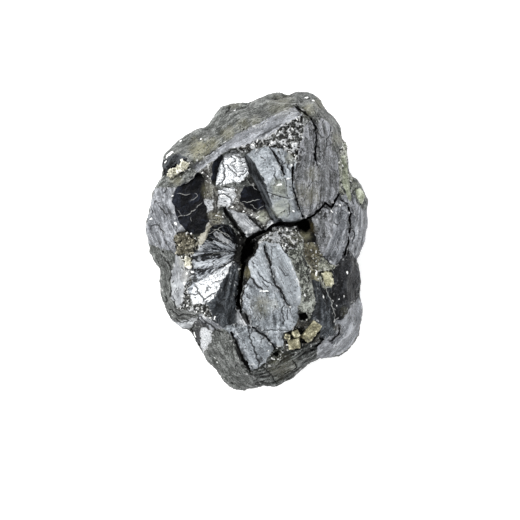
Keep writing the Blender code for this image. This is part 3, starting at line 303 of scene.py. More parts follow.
# -------- soft stains
# (colour, u, v, reach in squares, strength)
STAINS = (
    ("olive", 199, 150, 13, 1.0), ("olive", 212, 144, 9, 0.7), ("olive", 228, 134, 9, 0.6),
    ("olive", 243, 126, 8, 0.5), ("olive", 256, 122, 7, 0.4), ("olive", 176, 178, 9, 0.7),
    ("olive", 282, 106, 16, 0.35), ("olive", 234, 102, 10, 0.3), ("olive", 290, 160, 7, 0.8),
    ("olive", 307, 195, 16, 0.55), ("olive", 312, 175, 10, 0.45), ("olive", 308, 112, 9, 0.7),
    ("olive", 320, 104, 8, 0.5), ("cream", 280, 190, 12, 0.8), ("cream", 281, 208, 12, 0.9),
    ("cream", 262, 218, 8, 0.8), ("olive", 337, 140, 8, 0.5), ("cream", 355, 186, 6, 0.6),
    ("olive", 262, 306, 13, 0.6), ("brown", 264, 300, 9, 0.45), ("olive", 272, 304, 8, 0.4),
    ("brown", 256, 314, 6, 0.3), ("olive", 245, 272, 7, 0.9), ("brown", 244, 272, 6, 0.7),
    ("brown", 187, 276, 9, 0.8), ("brown", 184, 245, 11, 1.0), ("brown", 311, 253, 10, 1.0),
    ("brown", 311, 228, 7, 0.9), ("olive", 305, 235, 8, 0.7), ("olive", 326, 280, 6, 0.8),
    ("olive", 281, 366, 18, 0.35), ("brown", 337, 327, 5, 0.8), ("olive", 345, 312, 7, 0.2),
    ("olive", 184, 262, 7, 0.6), ("olive", 216, 218, 8, 0.7), ("olive", 209, 190, 9, 0.5),
    ("olive", 295, 238, 9, 0.4), ("cream", 196, 240, 6, 0.4),
)
STAIN_KINDS = ("olive", "cream", "brown")
STAIN_EDGE = (-1.1, -0.35)  # a stain begins at 1.1 of its reach and is full from 0.35 of it
STAIN_TEAR = ((0.35, 1.1, 9), (0.3, 0.4, 10))  # noises that tear its border: (share, length in mm, seed)

# -------- each face's relief and finish
# face: (finish, lump height, ridge height, ridge heading, crumb height), in mm and degrees
Relief = namedtuple("Relief", "finish lump ridge heading crumb")
RELIEF = {name: Relief(*row) for name, row in {
    "rock": ("rock", 0.26, 0.09, 32, 0.02),
    "belly": ("rock", 0.36, 0.12, 35, 0.03),
    "nook": ("dark_wall", 0.05, 0.12, 35, 0.0),
    "ledge": ("rock", 0.18, 0.16, 28, 0.05),
    "band": ("lavender", 0.04, 0.1, 29, 0.0),
    "knob": ("rock", 0.16, 0.06, 40, 0.05),
    "crumble": ("crumble", 0.22, 0.0, 0, 0.42),
    "front": ("steel", 0.03, 0.12, 112, 0.0),
    "front_foot": ("blue", 0.06, 0.05, 118, 0.0),
    "east": ("east", 0.06, 0.12, 93, 0.02),
    "east_low": ("east", 0.12, 0.1, 95, 0.04),
    "strip": ("flaky", 0.3, 0.1, 100, 0.16),
    "crown": ("rock", 0.2, 0.08, 80, 0.06),
    "dark_wall": ("dark_wall", 0.05, 0.12, 116, 0.0),
    "rib": ("matrix", 0.12, 0.06, 90, 0.05),
    "sliver": ("dark_mirror", 0.0, 0.02, 80, 0.0),
    "bright_mirror": ("bright_mirror", 0.05, 0.0, 0, 0.0),
    "bright_cells": ("bright_mirror", 0.06, 0.0, 0, 0.0),
    "low_mirror": ("bright_mirror", 0.04, 0.02, 28, 0.0),
    "pale_chip": ("bright_mirror", 0.04, 0.05, 75, 0.0),
    "blade": ("silk", 0.02, 0.08, 140, 0.0),
    "white_chip": ("bright_mirror", 0.03, 0.0, 0, 0.0),
    "dark_mirror": ("dark_mirror", 0.03, 0.01, 60, 0.0),
    "small_dark": ("dark_mirror", 0.04, 0.0, 0, 0.0),
    "small_pale": ("matrix", 0.08, 0.06, 140, 0.0),
    "shelf": ("matrix", 0.12, 0.0, 0, 0.08),
    "pale_face": ("silk", 0.03, 0.07, 128, 0.0),
    "matrix": ("matrix", 0.14, 0.0, 0, 0.12),
    "left_face": ("lavender", 0.14, 0.12, 122, 0.02),
    "rod": ("fibre", 0.04, 0.14, 62, 0.0),
    "nest": ("nest", 0.16, 0.0, 0, 0.22),
    "fan_dark": ("fan_dark", 0.02, 0.16, 160, 0.0),
    "fan": ("fan", 0.03, 0.2, 178, 0.0),
    "lip": ("fan", 0.04, 0.14, 28, 0.0),
    "crumbs": ("crumble", 0.12, 0.0, 0, 0.26),
    "left_strip": ("silk", 0.05, 0.06, 92, 0.0),
    "left_low": ("rock", 0.2, 0.1, 112, 0.03),
    "painted_shade_grey": ("painted_shade_grey", 0.08, 0.12, 74, 0.0),
    "black": ("black", 0.1, 0.0, 0, 0.12),
    "ledge_dark": ("rock", 0.12, 0.12, 20, 0.04),
    "ledge_light": ("silk", 0.06, 0.1, 28, 0.02),
    "ledge_hole": ("dark_lobe", 0.08, 0.06, 150, 0.04),
    "ledge_pale": ("lavender", 0.1, 0.1, 150, 0.03),
    "lobe": ("rock", 0.2, 0.1, 115, 0.02),
    "lower_face": ("steel", 0.05, 0.06, 118, 0.0),
    "foot": ("silk", 0.04, 0.03, 120, 0.0),
    "block": ("blue", 0.03, 0.05, 118, 0.0),
    "block_low": ("steel", 0.04, 0.04, 100, 0.0),
    "block_head": ("crumble", 0.18, 0.0, 0, 0.3),
    "pocket": ("black", 0.12, 0.0, 0, 0.1),
    "golden": ("golden", 0.14, 0.05, 110, 0.1),
    "flank": ("flank", 0.22, 0.2, 112, 0.12),
    "silk": ("lavender", 0.08, 0.12, 70, 0.0),
    "pale_crumb": ("flaky", 0.12, 0.08, 100, 0.18),
    "wedge": ("painted_shade_grey", 0.16, 0.16, 108, 0.04),
    "dark_lobe": ("dark_lobe", 0.16, 0.06, 80, 0.03),
    "right_edge": ("lavender", 0.18, 0.1, 80, 0.02),
    "corner": ("lavender", 0.14, 0.06, 60, 0.0),
    "pyrite_bed": ("pyrite_bed", 0.12, 0.0, 0, 0.16),
    "bottom": ("bottom", 0.3, 0.26, 28, 0.04),
}.items()}
LUMPS = ((0.9, 3.4, 1), (0.3, 1.3, 2))  # noises: (share, length in mm, seed)
RIDGES = (0.12, 0.9, 3.1, 0.55, 3)  # stretched along and across, shifted for each face, length in mm, seed
RIDGE_GAIN = 0.8
CRUMBS = ((1.0, 0.85), (0.35, 0.4))  # (share, size in mm)
CRUMB_LEAN = 2.4  # how steeply a crumb's facet is tilted
CRUMB_PLACES = (7.31, 3.7, (5.0, 1.0, 2.0))  # which of the noise's cells give its tilt and its height
LIP_CRUMBS = (0.22, 0.7)  # at an open crack's lips: height and size in mm
LIP_WAVES = ((0.12, 1.2, 14),)
LIP_SUNK = 0.12
LINE_RELIEF = {"crack": (0.06, 0.12), "vein": 0.07, "fleck": 0.08}  # in mm; a crack's grows with its width
LIP_SEAM = 0.8  # how much of a seam's painted glints and darkening a lip has
DEEP_CRACK_SMOOTH = 0.8  # how much smoother the floors of open cracks are
RIM_BULGE = 0.12 * MM  # makes up for what rounding takes off the rim
ROUNDED_FROM = 2.0 * MM  # the rim and the belly are rounded above this height
FLAT_BELOW = 0.4 * MM  # and nothing is raised below this one, so that the stone rests flat
FAN_MIDDLE = (238.0, 252.0)  # the fan's blades spread from here
FAN_FACES = ("fan", "fan_dark")
FAN_TURN = 7.0  # mm across the blades for each radian round the middle
BELLY_TURN = 24.0  # mm across the belly's streaks for each radian round the stone
STREAK_DIP = (0.6, 6.0)  # how streaks slant on steep faces, in full this far from the middle
MAP_STEP = (37.0, 11.0)  # between two faces' places on the streak map, in mm
ROUGH = ("crumble", "nest", "matrix", "golden", "black")  # finishes whose small facets stay flat
SMOOTH_BELOW = 42  # a sharper edge than this many degrees stays sharp

# -------- finishes
# colours as seen, 0 to 255, and how strong each mark is
Look = namedtuple("Look", "dark middle pale metallic roughness "
                          "streaks grain patches glints terraces clefts plates")
LOOKS = {name: Look(*row) for name, row in {
    "rock": ((18, 20, 18), (68, 71, 68), (132, 135, 133), 0.18, 0.5, 0.35, 1.4, 0.6, 0.0, 0.0, 0.6, 0.35),
    "lavender": ((40, 42, 45), (104, 107, 112), (166, 169, 175),
                 0.38, 0.4, 0.22, 0.8, 0.7, 0.0, 0.0, 0.7, 0.6),
    "east": ((32, 33, 33), (98, 100, 102), (166, 168, 174), 0.32, 0.42, 0.25, 1.1, 1.0, 0.0, 0.0, 0.7, 0.6),
    "blue": ((78, 82, 86), (134, 140, 145), (172, 178, 184),
             0.42, 0.37, 0.18, 0.7, 0.35, 0.0, 0.0, 0.6, 0.45),
    "steel": ((40, 44, 48), (116, 122, 127), (170, 176, 182), 0.42, 0.37, 0.22, 0.9, 0.8, 0.0, 0.0, 0.8, 0.7),
    "flank": ((14, 16, 13), (84, 87, 80), (180, 184, 176), 0.3, 0.44, 1.2, 1.5, 0.8, 0.3, 0.0, 0.8, 0.35),
    "silk": ((70, 73, 76), (148, 151, 155), (202, 205, 208), 0.42, 0.36, 0.3, 0.6, 0.7, 0.0, 0.0, 0.6, 0.6),
    "fibre": ((46, 43, 36), (120, 117, 104), (190, 187, 174), 0.25, 0.46, 1.2, 0.7, 0.5, 0.0, 0.0, 0.6, 0.8),
    # painted shade: a dark finish for the slate and wedge faces, where shade falls
    "painted_shade_grey": ((10, 12, 14), (38, 42, 46), (92, 97, 102), 0.3, 0.42, 0.5, 0.9, 0.7, 0.0, 0.0, 0.7, 0.6),
    # painted shade: a near-black finish for steep walls and the nook, where shade falls
    "dark_wall": ((5, 6, 7), (28, 30, 32), (92, 96, 100), 0.3, 0.44, 0.8, 0.7, 0.6, 0.0, 0.0, 0.8, 0.7),
    "fan": ((2, 3, 4), (50, 54, 60), (184, 189, 195), 0.35, 0.36, 2.2, 0.3, 0.4, 0.0, 0.0, 0.5, 1.3),
    # painted reflection: near-black where the fan's blades mirror dark surroundings
    "fan_dark": ((2, 3, 4), (5, 6, 8), (58, 62, 68), 0.08, 0.34, 1.0, 0.2, 0.2, 0.0, 0.0, 0.3, 0.7),
    # painted reflection: pale faces where the lead-grey cleavage mirrors the light
    "bright_mirror": ((124, 127, 130), (186, 189, 192), (218, 220, 222),
                      0.55, 0.26, 0.0, 0.4, 0.6, 0.0, 0.95, 0.0, 0.0),
    # painted reflection: near-black faces where the cleavage mirrors dark surroundings
    "dark_mirror": ((2, 3, 4), (5, 6, 10), (32, 36, 46), 0.05, 0.24, 0.4, 0.5, 0.8, 0.0, 0.0, 0.2, 0.5),
    "crumble": ((8, 8, 8), (76, 78, 75), (196, 198, 200), 0.5, 0.34, 0.0, 1.4, 1.0, 0.5, 0.0, 0.0, 0.0),
    "flaky": ((40, 42, 36), (122, 125, 112), (196, 198, 186), 0.2, 0.46, 0.2, 1.4, 0.8, 0.3, 0.0, 0.3, 0.6),
    "matrix": ((18, 17, 15), (74, 73, 69), (144, 145, 143), 0.3, 0.48, 0.3, 1.2, 0.8, 0.3, 0.0, 0.3, 0.4),
    "nest": ((8, 7, 5), (100, 96, 80), (222, 218, 198), 0.35, 0.42, 0.0, 2.3, 1.3, 0.5, 0.0, 0.0, 0.5),
    "pyrite_bed": ((6, 6, 5), (22, 21, 19), (90, 88, 80), 0.2, 0.46, 0.0, 1.3, 0.9, 0.2, 0.0, 0.0, 0.3),
    "golden": ((24, 22, 15), (94, 91, 72), (156, 153, 130), 0.35, 0.46, 0.4, 1.5, 0.9, 0.2, 0.0, 0.3, 0.5),
    # painted shade: the black of the gorge, the pocket and the block's north wall
    "black": ((3, 3, 3), (12, 12, 11), (48, 48, 45), 0.05, 0.6, 0.0, 0.8, 0.7, 0.1, 0.0, 0.0, 0.0),
    # painted shade: a near-black finish for the lobe and the ledge's hole
    "dark_lobe": ((3, 4, 5), (15, 16, 19), (62, 64, 68), 0.18, 0.42, 0.2, 1.0, 0.8, 0.05, 0.0, 0.3, 0.3),
    # painted shade: the lower end, turned away from the light, is given a dark finish
    "bottom": ((4, 5, 5), (20, 23, 20), (104, 108, 106), 0.3, 0.42, 0.5, 1.2, 1.1, 0.0, 0.0, 0.8, 0.4),
}.items()}
MIRRORING = 0.5  # how much a finish mirrors the sky, where it isn't one of the duller ones
DULL = {"dark_mirror": 0.08, "fan_dark": 0.05, "black": 0.08, "dark_wall": 0.08, "painted_shade_grey": 0.2,
        "dark_lobe": 0.12, "bottom": 0.2, "rock": 0.3, "matrix": 0.3, "flank": 0.25, "fan": 0.2}
# finishes left without painted glints along their seams and edges
NO_EDGE_GLINTS = ("dark_mirror", "fan_dark", "black", "dark_wall")
STREAKS = (0.34, 1.9)  # fine streaks per mm along and across
CLEFTS = (0.22, 0.42)  # terraced cleavage, the same
PLATES = (0.30, 1.0)  # cleavage plates per mm along and across a face's streaks
FAN_PLATES = (0.16, 1.0)  # and the fan's blades, across by the angle
PLATE_BEND = (0.6, 0.8, 0.0)  # how far the plates' borders wander
TERRACES = (300.0, 430.0, 300.0)  # swells of the bright mirrors per metre
CLEFT_STEPS = 6.0  # steps in one swing of their noise
TERRACE_STEPS = 13.0
GROWTH = (700.0, 5200.0, 5200.0)  # growth lines of a crystal per metre
STONE_BUMP = 0.16 * MM
CRYSTAL_BUMP = 0.06 * MM
GRAIN_BUMP = 0.05 * MM

# noises of the finishes: (per metre, detail, roughness)
NOISES = {
    "broad": (420.0, 4.0, 0.62), "fine": (3000.0, 3.0, 0.7), "pits": (1700.0, 2.0, 0.5),
    "pepper": (2800.0, 2.0, 0.6), "breaks": (600.0, 3.0, 0.6), "chips": (1500.0, 2.0, 0.5),
    "glints": (2100.0, 1.0, 0.4), "wear": (900.0, 2.0, 0.6), "crystal": (900.0, 3.0, 0.6),
    "crystal_fine": (3600.0, 2.0, 0.6), "grain": (4200.0, 2.0, 0.5), "floor": (60.0, 2.0, 0.6),
}
# where each mark begins and where it is full, on the value that it is made from
MARKS = {
    "hollow": (-0.05, -0.30), "shade_breakup": (0.25, 0.60), "pepper": (0.42, 0.33), "pits": (0.34, 0.28),
    "hairline": (0.080, 0.030), "hairline_highlight": (0.22, 0.12), "unbroken": (0.52, 0.59), "middle": (0.0, 0.48),
    "pale": (0.52, 1.0), "worn": (0.03, 0.10), "edge_highlight_grain": (0.35, 0.55), "chips": (0.60, 0.64),
    "chipped": (0.06, 0.14), "torn": (0.55, 0.95), "glints": (0.66, 0.72), "seam": (0.55, 0.95),
    "cleft": (0.86, 0.95), "cleft_highlight": (0.12, 0.02), "cleft_shading": (0.3, 0.9), "cleft_breakup": (0.40, 0.60),
    "terrace": (0.45, 0.9), "terrace_step_shade": (0.80, 0.90), "terrace_breakup": (0.34, 0.46), "vein": (-0.05, 0.25),
    "fleck": (-0.1, 0.15), "crack": (-0.18, 0.10), "crystal_middle": (0.05, 0.45),
    "crystal_pale": (0.55, 0.95), "crystal_pits": (0.42, 0.32), "grey_grain": (0.3, 0.6),
    "bright_grain": (0.66, 0.76),
}

# -------- crystals
# kind: (nodes, slot, dark, middle, pale, metallic, roughness, how rounded, how worn)
Crystal = namedtuple("Crystal", "nodes slot dark middle pale metallic roughness rounded worn")
CRYSTALS = {kind: Crystal(*row) for kind, row in {
    "pyrite": (("pyrite_large", "pyrite_middle", "pyrite_small", "pyrite_tiny"), "pyrite",
               (40, 37, 28), (126, 122, 98), (214, 210, 184), 0.55, 0.32, 1.0, 1.0),
    "cluster": (("pyrite_cluster",), "pyrite",
                (14, 13, 11), (92, 88, 74), (200, 197, 182), 0.50, 0.36, 1.6, 2.2),
    "cream": (("nook_pyrite", "cream_crystal"), "cream",
              (104, 101, 84), (202, 200, 184), (248, 247, 241), 0.20, 0.36, 1.8, 3.4),
    "yellow": (("yellow_crystal",), "cream",
               (70, 68, 50), (158, 156, 130), (216, 214, 192), 0.15, 0.40, 1.8, 3.6),
    "olive": (("olive_crystal", "green_crystal"), "olive",
              (66, 70, 56), (130, 135, 116), (190, 195, 178), 0.05, 0.36, 1.5, 1.5),
}.items()}
CRYSTAL_EDGE = 0.2 * MM  # the longest edge of a crystal's mesh
CRYSTAL_STEPS = (0.9, 12, 2.5)  # growth steps: length in mm, seed, steps for each unit
CRYSTAL_WAVES = (0.35, 13)
CRYSTAL_RELIEF = (0.06, 0.05, 0.06, 0.12)  # steps, waves, crumbs, and all over, in mm
CRYSTAL_CRUMB = 0.5
CRYSTAL_SMOOTH_BELOW = 30  # degrees
FLAT_BELOW_ANGLE = 3  # a crystal's faces that meet at less are one, in degrees
WORN_FROM_ANGLE = 20  # and its edges are worn from this angle

# -------- grains
GRAIN_FACES = {"crumble": 1.0, "nest": 0.9, "matrix": 0.35, "golden": 0.5, "pyrite_bed": 0.4, "flaky": 0.5}
GRAINS_FROM = RIM_LEVEL - 2.0 * MM  # no grains lie lower
GRAIN_LEAST = (0.5, 0.4, 0.35)  # a grain's least and greatest stretch
GRAIN_MOST = (2.2, 1.0, 0.8)
GRAIN_GREY = (110, 110, 106)
GRAIN_DUST = (90, 88, 80)

# -------- light
SKY_BRIGHTEST = (-0.55, 0.45, 0.60)  # where the soft sky is brightest
SKY_CONTRAST = (0.60, 1.40)  # its dimmest and brightest, as shares of its level
SKY_DIM_UNTIL = -0.1  # the cosine to that place up to which it stays dimmest
LAMP_SIZE = 0.5
KEY_PLACE = (-0.36, 0.30, 0.52)
KEY_COLOUR = (1.0, 0.995, 0.985)
FILL_PLACE = (0.45, -0.30, 0.50)
FILL_COLOUR = (0.96, 0.98, 1.0)
WHITE = (1.0, 1.0, 1.0, 1.0)
FLOOR_SPECKLE = (0.97, 0.97, 0.97, 1.0)
SENSOR = 36.0  # the camera's, in mm
FURTHEST = 20.0  # that it sees, in metres

# -------- how finely the stone's mesh is made
SPLITS = 6  # rounds of halving the long edges
LINE_EDGE = 0.38  # the longest edge near a fine line, in mm
UPPER_EDGE = 0.56  # on the rest of the upper side
LOWER_EDGE = 0.95  # below it
FOOT_EDGE = 3.0  # and on the resting face
LOWER_BELOW = RIM_LEVEL - 2.5 * MM
FOOT_BELOW = 0.05 * MM
LINE_NEAR = -1.5  # how far off a line its finer mesh begins, in squares
SNAP = 0.2  # share of an edge within which its corner moves onto a line
SNAP_AGAIN = 0.04  # and within which the edge isn't split any more
CUTS = 2  # rounds of splitting edges along the lines
BUCKET = 4.0  # squares: edges are looked up by patches of this size
BUCKET_ROW = 1000  # more than the patches in a row
JOINED = 1e-7  # corners closer than this are one, in metres
NOT_ZERO = 1e-20
PASSES = {"rim": 6, "border": 2, "walls": 3, "edge": 6, "crystal": 5}  # rounds of evening out values
BORDER_GAIN = 1.5  # makes up for what evening takes off the borders
NOISE_SHIFT = 17.3  # between two seeds of a noise
NOISE_GAIN = 1.6  # raises a noise to about -1 to 1

# -------- the height sheet, in its own samples
SHEET_ORIGIN = (136.0, 84.0)
SHEET_SIZE = (240, 312)  # squares to the right and down
PER_SQUARE = 2  # samples along a square
ABOVE_ALL = 0.1  # a height in metres over everything
CRACK_REACH = 9  # half the width of the widest crack that is filled
OPEN_FROM = 0.7 * MM  # a crack this deep is open
LIP_REACH = (4, 3)  # lips are widened by the first and blurred by the second
OUTSKIRTS_REACH = (6, 5)
OUTSKIRTS_FADE = (0.05, 0.5)  # open cracks end on the stone's outskirts
WALL_FADE = (0.10, 0.35)  # and aren't seen on walls under the rim, by how far they face up
CRACK_SHADE_DEPTHS = (0.6, 1.7)  # depths in mm from which painted shade darkens an open crack and at which it is full


# ======== reading the sheet

def sheet_of(points):
    """Places in metres as squares of the sheet."""
    return points[:, 0] / SQUARE + SHEET_CENTRE[0], SHEET_CENTRE[1] - points[:, 1] / SQUARE


def eased(value, low, high):
    """0 up to low, 1 from high, and smooth between them."""
    share = np.clip((value - low) / (high - low), 0.0, 1.0)
    return share * share * (3.0 - 2.0 * share)


def wavering(points, length, seed):
    """Smooth noise from -1 to 1 at places in metres, with waves so many mm long."""
    scaled = points / (length * MM) + seed * NOISE_SHIFT
    return np.array([noise.noise(Vector(spot)) for spot in scaled]) * NOISE_GAIN


def wavering_sum(points, rows):
    """Several such noises added up: rows of (share, length, seed)."""
    return sum(share * wavering(points, length, seed) for share, length, seed in rows)


def inside(u, v, outline):
    """Which of the points lie in an outline on the sheet."""
    hit = np.zeros(len(u), bool)
    for (u0, v0), (u1, v1) in zip(outline, outline[1:] + outline[:1]):
        if v0 == v1:
            continue
        crosses = (v0 > v) != (v1 > v)
        hit ^= crosses & (u < (u1 - u0) * (v - v0) / (v1 - v0) + u0)
    return hit


def along_line(u, v, path):
    """Distance from each point to a path, in squares, and how far along it the nearest place is, 0 to 1."""
    nearest = np.full(len(u), np.inf)
    travelled = np.zeros(len(u))
    lengths = [math.dist(a, b) for a, b in zip(path, path[1:])]
    done = 0.0
    for (u0, v0), (u1, v1), length in zip(path, path[1:], lengths):
        share = ((u - u0) * (u1 - u0) + (v - v0) * (v1 - v0)) / length ** 2
        share = np.clip(share, 0.0, 1.0)
        gap = np.hypot(u - u0 - share * (u1 - u0), v - v0 - share * (v1 - v0))
        closer = gap < nearest
        nearest[closer] = gap[closer]
        travelled[closer] = (done + share[closer] * length) / sum(lengths)
        done += length
    return nearest, travelled


def jagged(path):
    """A path with the bends of a break between its points."""
    made = [path[0]]
    for (u0, v0), (u1, v1) in zip(path, path[1:]):
        length = math.dist((u0, v0), (u1, v1))
        parts = max(1, round(length / JAG_LENGTH))
        for i in range(1, parts):
            u, v = u0 + (u1 - u0) * i / parts, v0 + (v1 - v0) * i / parts
            cell = Vector((JAG_PLACES[0] * u, JAG_PLACES[1] * v, JAG_PLACES[2]))
            side = 2.0 * JAG * (noise.cell(cell) - 0.5)
            made.append((u - (v1 - v0) / length * side, v + (u1 - u0) / length * side))
        made.append((u1, v1))
    return tuple(made)


def jagged_outline(outline):
    """An outline on the sheet with bends between its corners, the same for both faces that share a side."""
    made = []
    for start, end in zip(outline, outline[1:] + outline[:1]):
        side = jagged((min(start, end), max(start, end)))
        made += side[:-1] if start < end else side[:0:-1]
    return tuple(made)


def line_values(u, v, lines, width_share, taper):
    """How far inside the nearest line each point lies, in squares, below 0 outside it, and its width."""
    inner = np.full(len(u), OUTSIDE)
    width_here = np.zeros(len(u))
    for drawn, path in lines:
        width = drawn * width_share
        reach = width * 0.5 - OUTSIDE
        us, vs = zip(*path)
        near = np.flatnonzero((u > min(us) - reach) & (u < max(us) + reach)
                              & (v > min(vs) - reach) & (v < max(vs) + reach))
        if not len(near):
            continue
        gap, travelled = along_line(u[near], v[near], path)
        here = width * 0.5 * (1.0 - taper * np.abs(2.0 * travelled - 1.0) ** 3) - gap
        better = here > inner[near]
        inner[near[better]] = here[better]
        width_here[near[better]] = width
    return inner, width_here


def fleck_values(points, u, v, sheet, flecks):
    """How far inside a fleck each point lies, in squares: a fleck doesn't run on down a steep face."""
    inner = np.full(len(points), OUTSIDE)
    for fleck in flecks:
        here, _ = line_values(u, v, [fleck], *FLECK_LINE)
        middle = np.mean(fleck[1], axis=0)
        drop = (points[:, 2] - sheet.read(sheet.height, middle[:1], middle[1:])[0]) / SQUARE
        inner = np.maximum(inner, here - 0.5 * np.maximum(np.abs(drop) - FLECK_DROP, 0.0))
    return inner


# ======== meshes as arrays

def joined_node(node):
    """A copy of a CAD node's mesh with its loose triangles joined."""
    built = bmesh.new()
    built.from_mesh(node.data)
    bmesh.ops.remove_doubles(built, verts=built.verts, dist=JOINED)
    return built


def triangle_arrays(built):
    """The corners and triangles of a mesh that was being built."""
    bmesh.ops.triangulate(built, faces=built.faces)
    points = np.array([vert.co for vert in built.verts])
    faces = np.array([[vert.index for vert in face.verts] for face in built.faces])
    built.free()
    return points, faces


def new_mesh(name, points, faces, kept, smooth_below):
    """A mesh with values kept at its points, and smooth but for its sharper edges."""
    mesh = bpy.data.meshes.new(name)
    mesh.from_pydata(points.tolist(), [], faces.tolist())
    for title, values in kept.items():
        put_values(mesh, title, values)
    mesh.shade_smooth()
    mesh.set_sharp_from_angle(angle=math.radians(smooth_below))
    return mesh


def put_values(mesh, name, values):
    mesh.attributes.new(name, "FLOAT", "POINT").data.foreach_set("value", np.asarray(values, np.float32))


def mesh_edges(points, faces):
    """The mesh's edges, and which of them each triangle's three sides are."""
    pairs = np.sort(faces[:, [0, 1, 1, 2, 2, 0]].reshape(-1, 2), axis=1)
    keys, which = np.unique(pairs[:, 0] * len(points) + pairs[:, 1], return_inverse=True)
    return np.column_stack([keys // len(points), keys % len(points)]), which.reshape(-1)


def split_edges(points, faces, which, places):
    """Split edges in two at the places given for them (nan where an edge stays whole)."""
    chosen = np.isfinite(places[:, 0])
    number = np.full(len(places), -1)
    number[chosen] = len(points) + np.arange(chosen.sum())
    points = np.vstack([points, places[chosen]])
    halves = number[which].reshape(-1, 3)
    split = halves >= 0
    one, two, three = (np.flatnonzero(split.sum(axis=1) == n) for n in (1, 2, 3))
    made = [faces[~split.any(axis=1)]]

    def turned(rows, first):
        """The triangles' corners a, b, c and the middles of ab, bc, ca, with ab the side number first."""
        rows, sides = rows[:, None], (first[:, None] + np.arange(3)) % 3
        return (*faces[rows, sides].T, *halves[rows, sides].T)

    def put(*corners, where=...):
        made.append(np.column_stack(corners)[where])

    a, b, c, ab, _, _ = turned(one, split[one].argmax(axis=1))
    put(a, ab, c)
    put(ab, b, c)
    a, b, c, ab, bc, _ = turned(two, (split[two].argmin(axis=1) + 1) % 3)
    put(ab, b, bc)
    slant, cross = (np.linalg.norm(points[p] - points[q], axis=1) for p, q in ((a, bc), (c, ab)))
    straight = slant <= cross
    put(a, ab, bc, where=straight)
    put(a, bc, c, where=straight)
    put(a, ab, c, where=~straight)
    put(ab, bc, c, where=~straight)
    a, b, c, ab, bc, ca = turned(three, np.zeros(len(three), int))
    for corners in ((a, ab, ca), (b, bc, ab), (c, ca, bc), (ab, bc, ca)):
        put(*corners)
    return points, np.vstack(made)


def split_long_edges(points, faces, allowed):
    """Halve every edge that is longer than allowed() says for its middle, in a few rounds."""
    for _ in range(SPLITS):
        edges, which = mesh_edges(points, faces)
        places = (points[edges[:, 0]] + points[edges[:, 1]]) / 2
        lengths = np.linalg.norm(points[edges[:, 0]] - points[edges[:, 1]], axis=1)
        places[lengths <= allowed(places)] = np.nan
        points, faces = split_edges(points, faces, which, places)
    return points, faces


def side_of(u, v, start, end):
    """On which side of a line each point lies, by its sign."""
    return (end[0] - start[0]) * (v - start[1]) - (end[1] - start[1]) * (u - start[0])


def crossings(points, edges, paths):
    """Where along each edge of the upper side a path crosses it, 0 to 1 (nan where none does)."""
    u, v = sheet_of(points)
    share = np.full(len(edges), np.nan)
    upper = np.flatnonzero(points[edges, 2].min(axis=1) > UPPER_FROM)
    columns = (u[edges[upper]].mean(axis=1) / BUCKET).astype(int)
    rows = (v[edges[upper]].mean(axis=1) / BUCKET).astype(int)
    order = np.argsort(columns * BUCKET_ROW + rows, kind="stable")
    keys, starts = np.unique((columns * BUCKET_ROW + rows)[order], return_index=True)
    ends = dict(zip(keys.tolist(), np.split(upper[order], starts[1:])))

    def buckets(a, b):
        return range(int(min(a, b) / BUCKET) - 1, int(max(a, b) / BUCKET) + 2)

    for path in paths:
        for start, end in zip(path, path[1:]):
            (u0, v0), (u1, v1) = start, end
            near = [ends[key] for i in buckets(u0, u1) for j in buckets(v0, v1)
                    if (key := i * BUCKET_ROW + j) in ends]
            if not near:
                continue
            near = np.concatenate(near)
            a, b = edges[near].T
            side_a, side_b = side_of(u[a], v[a], start, end), side_of(u[b], v[b], start, end)
            over = (side_a > 0.0) != (side_b > 0.0)
            near, a, b, side_a, side_b = near[over], a[over], b[over], side_a[over], side_b[over]
            where = side_a / (side_a - side_b)
            crossed_u, crossed_v = u[a] + where * (u[b] - u[a]), v[a] + where * (v[b] - v[a])
            along = (((crossed_u - u0) * (u1 - u0) + (crossed_v - v0) * (v1 - v0))
                     / ((u1 - u0) ** 2 + (v1 - v0) ** 2))
            on = (along >= 0.0) & (along <= 1.0)
            share[near[on]] = where[on]
    return share


def cut_along(points, faces, paths):
    """The mesh with edges along the paths: corners near a path move onto it, other edges are split."""
    edges, _ = mesh_edges(points, faces)
    share = crossings(points, edges, paths)
    points = points.copy()
    moved = np.zeros(len(points), bool)
    for near, first, second in ((share < SNAP, 0, 1), (share > 1.0 - SNAP, 1, 0)):
        near = np.flatnonzero(near)
        near = near[~moved[edges[near, first]] & ~moved[edges[near, second]]]
        start, end = points[edges[near, 0]], points[edges[near, 1]]
        points[edges[near, first]] = start + share[near, None] * (end - start)
        moved[edges[near, first]] = True
    for _ in range(CUTS):
        edges, which = mesh_edges(points, faces)
        share = crossings(points, edges, paths)
        share[(share < SNAP_AGAIN) | (share > 1.0 - SNAP_AGAIN)] = np.nan
        start, end = points[edges[:, 0]], points[edges[:, 1]]
        points, faces = split_edges(points, faces, which, start + share[:, None] * (end - start))
    return points, faces


def unit(vectors):
    return vectors / (np.linalg.norm(vectors, axis=1)[:, None] + NOT_ZERO)


def triangle_crosses(points, faces):
    """Each triangle's normal, as long as twice its area."""
    corners = points[faces]
    return np.cross(corners[:, 1] - corners[:, 0], corners[:, 2] - corners[:, 0])


def point_normals(points, faces):
    """Each point's normal, by the sizes of the triangles round it."""
    crosses = triangle_crosses(points, faces)
    normals = np.zeros_like(points)
    for corner in range(3):
        np.add.at(normals, faces[:, corner], crosses)
    return unit(normals)


def least_at_points(values, faces, count):
    """The least of the values of the triangles round each point."""
    least = np.full(count, np.inf)
    for corner in range(3):
        np.minimum.at(least, faces[:, corner], values)
    return least


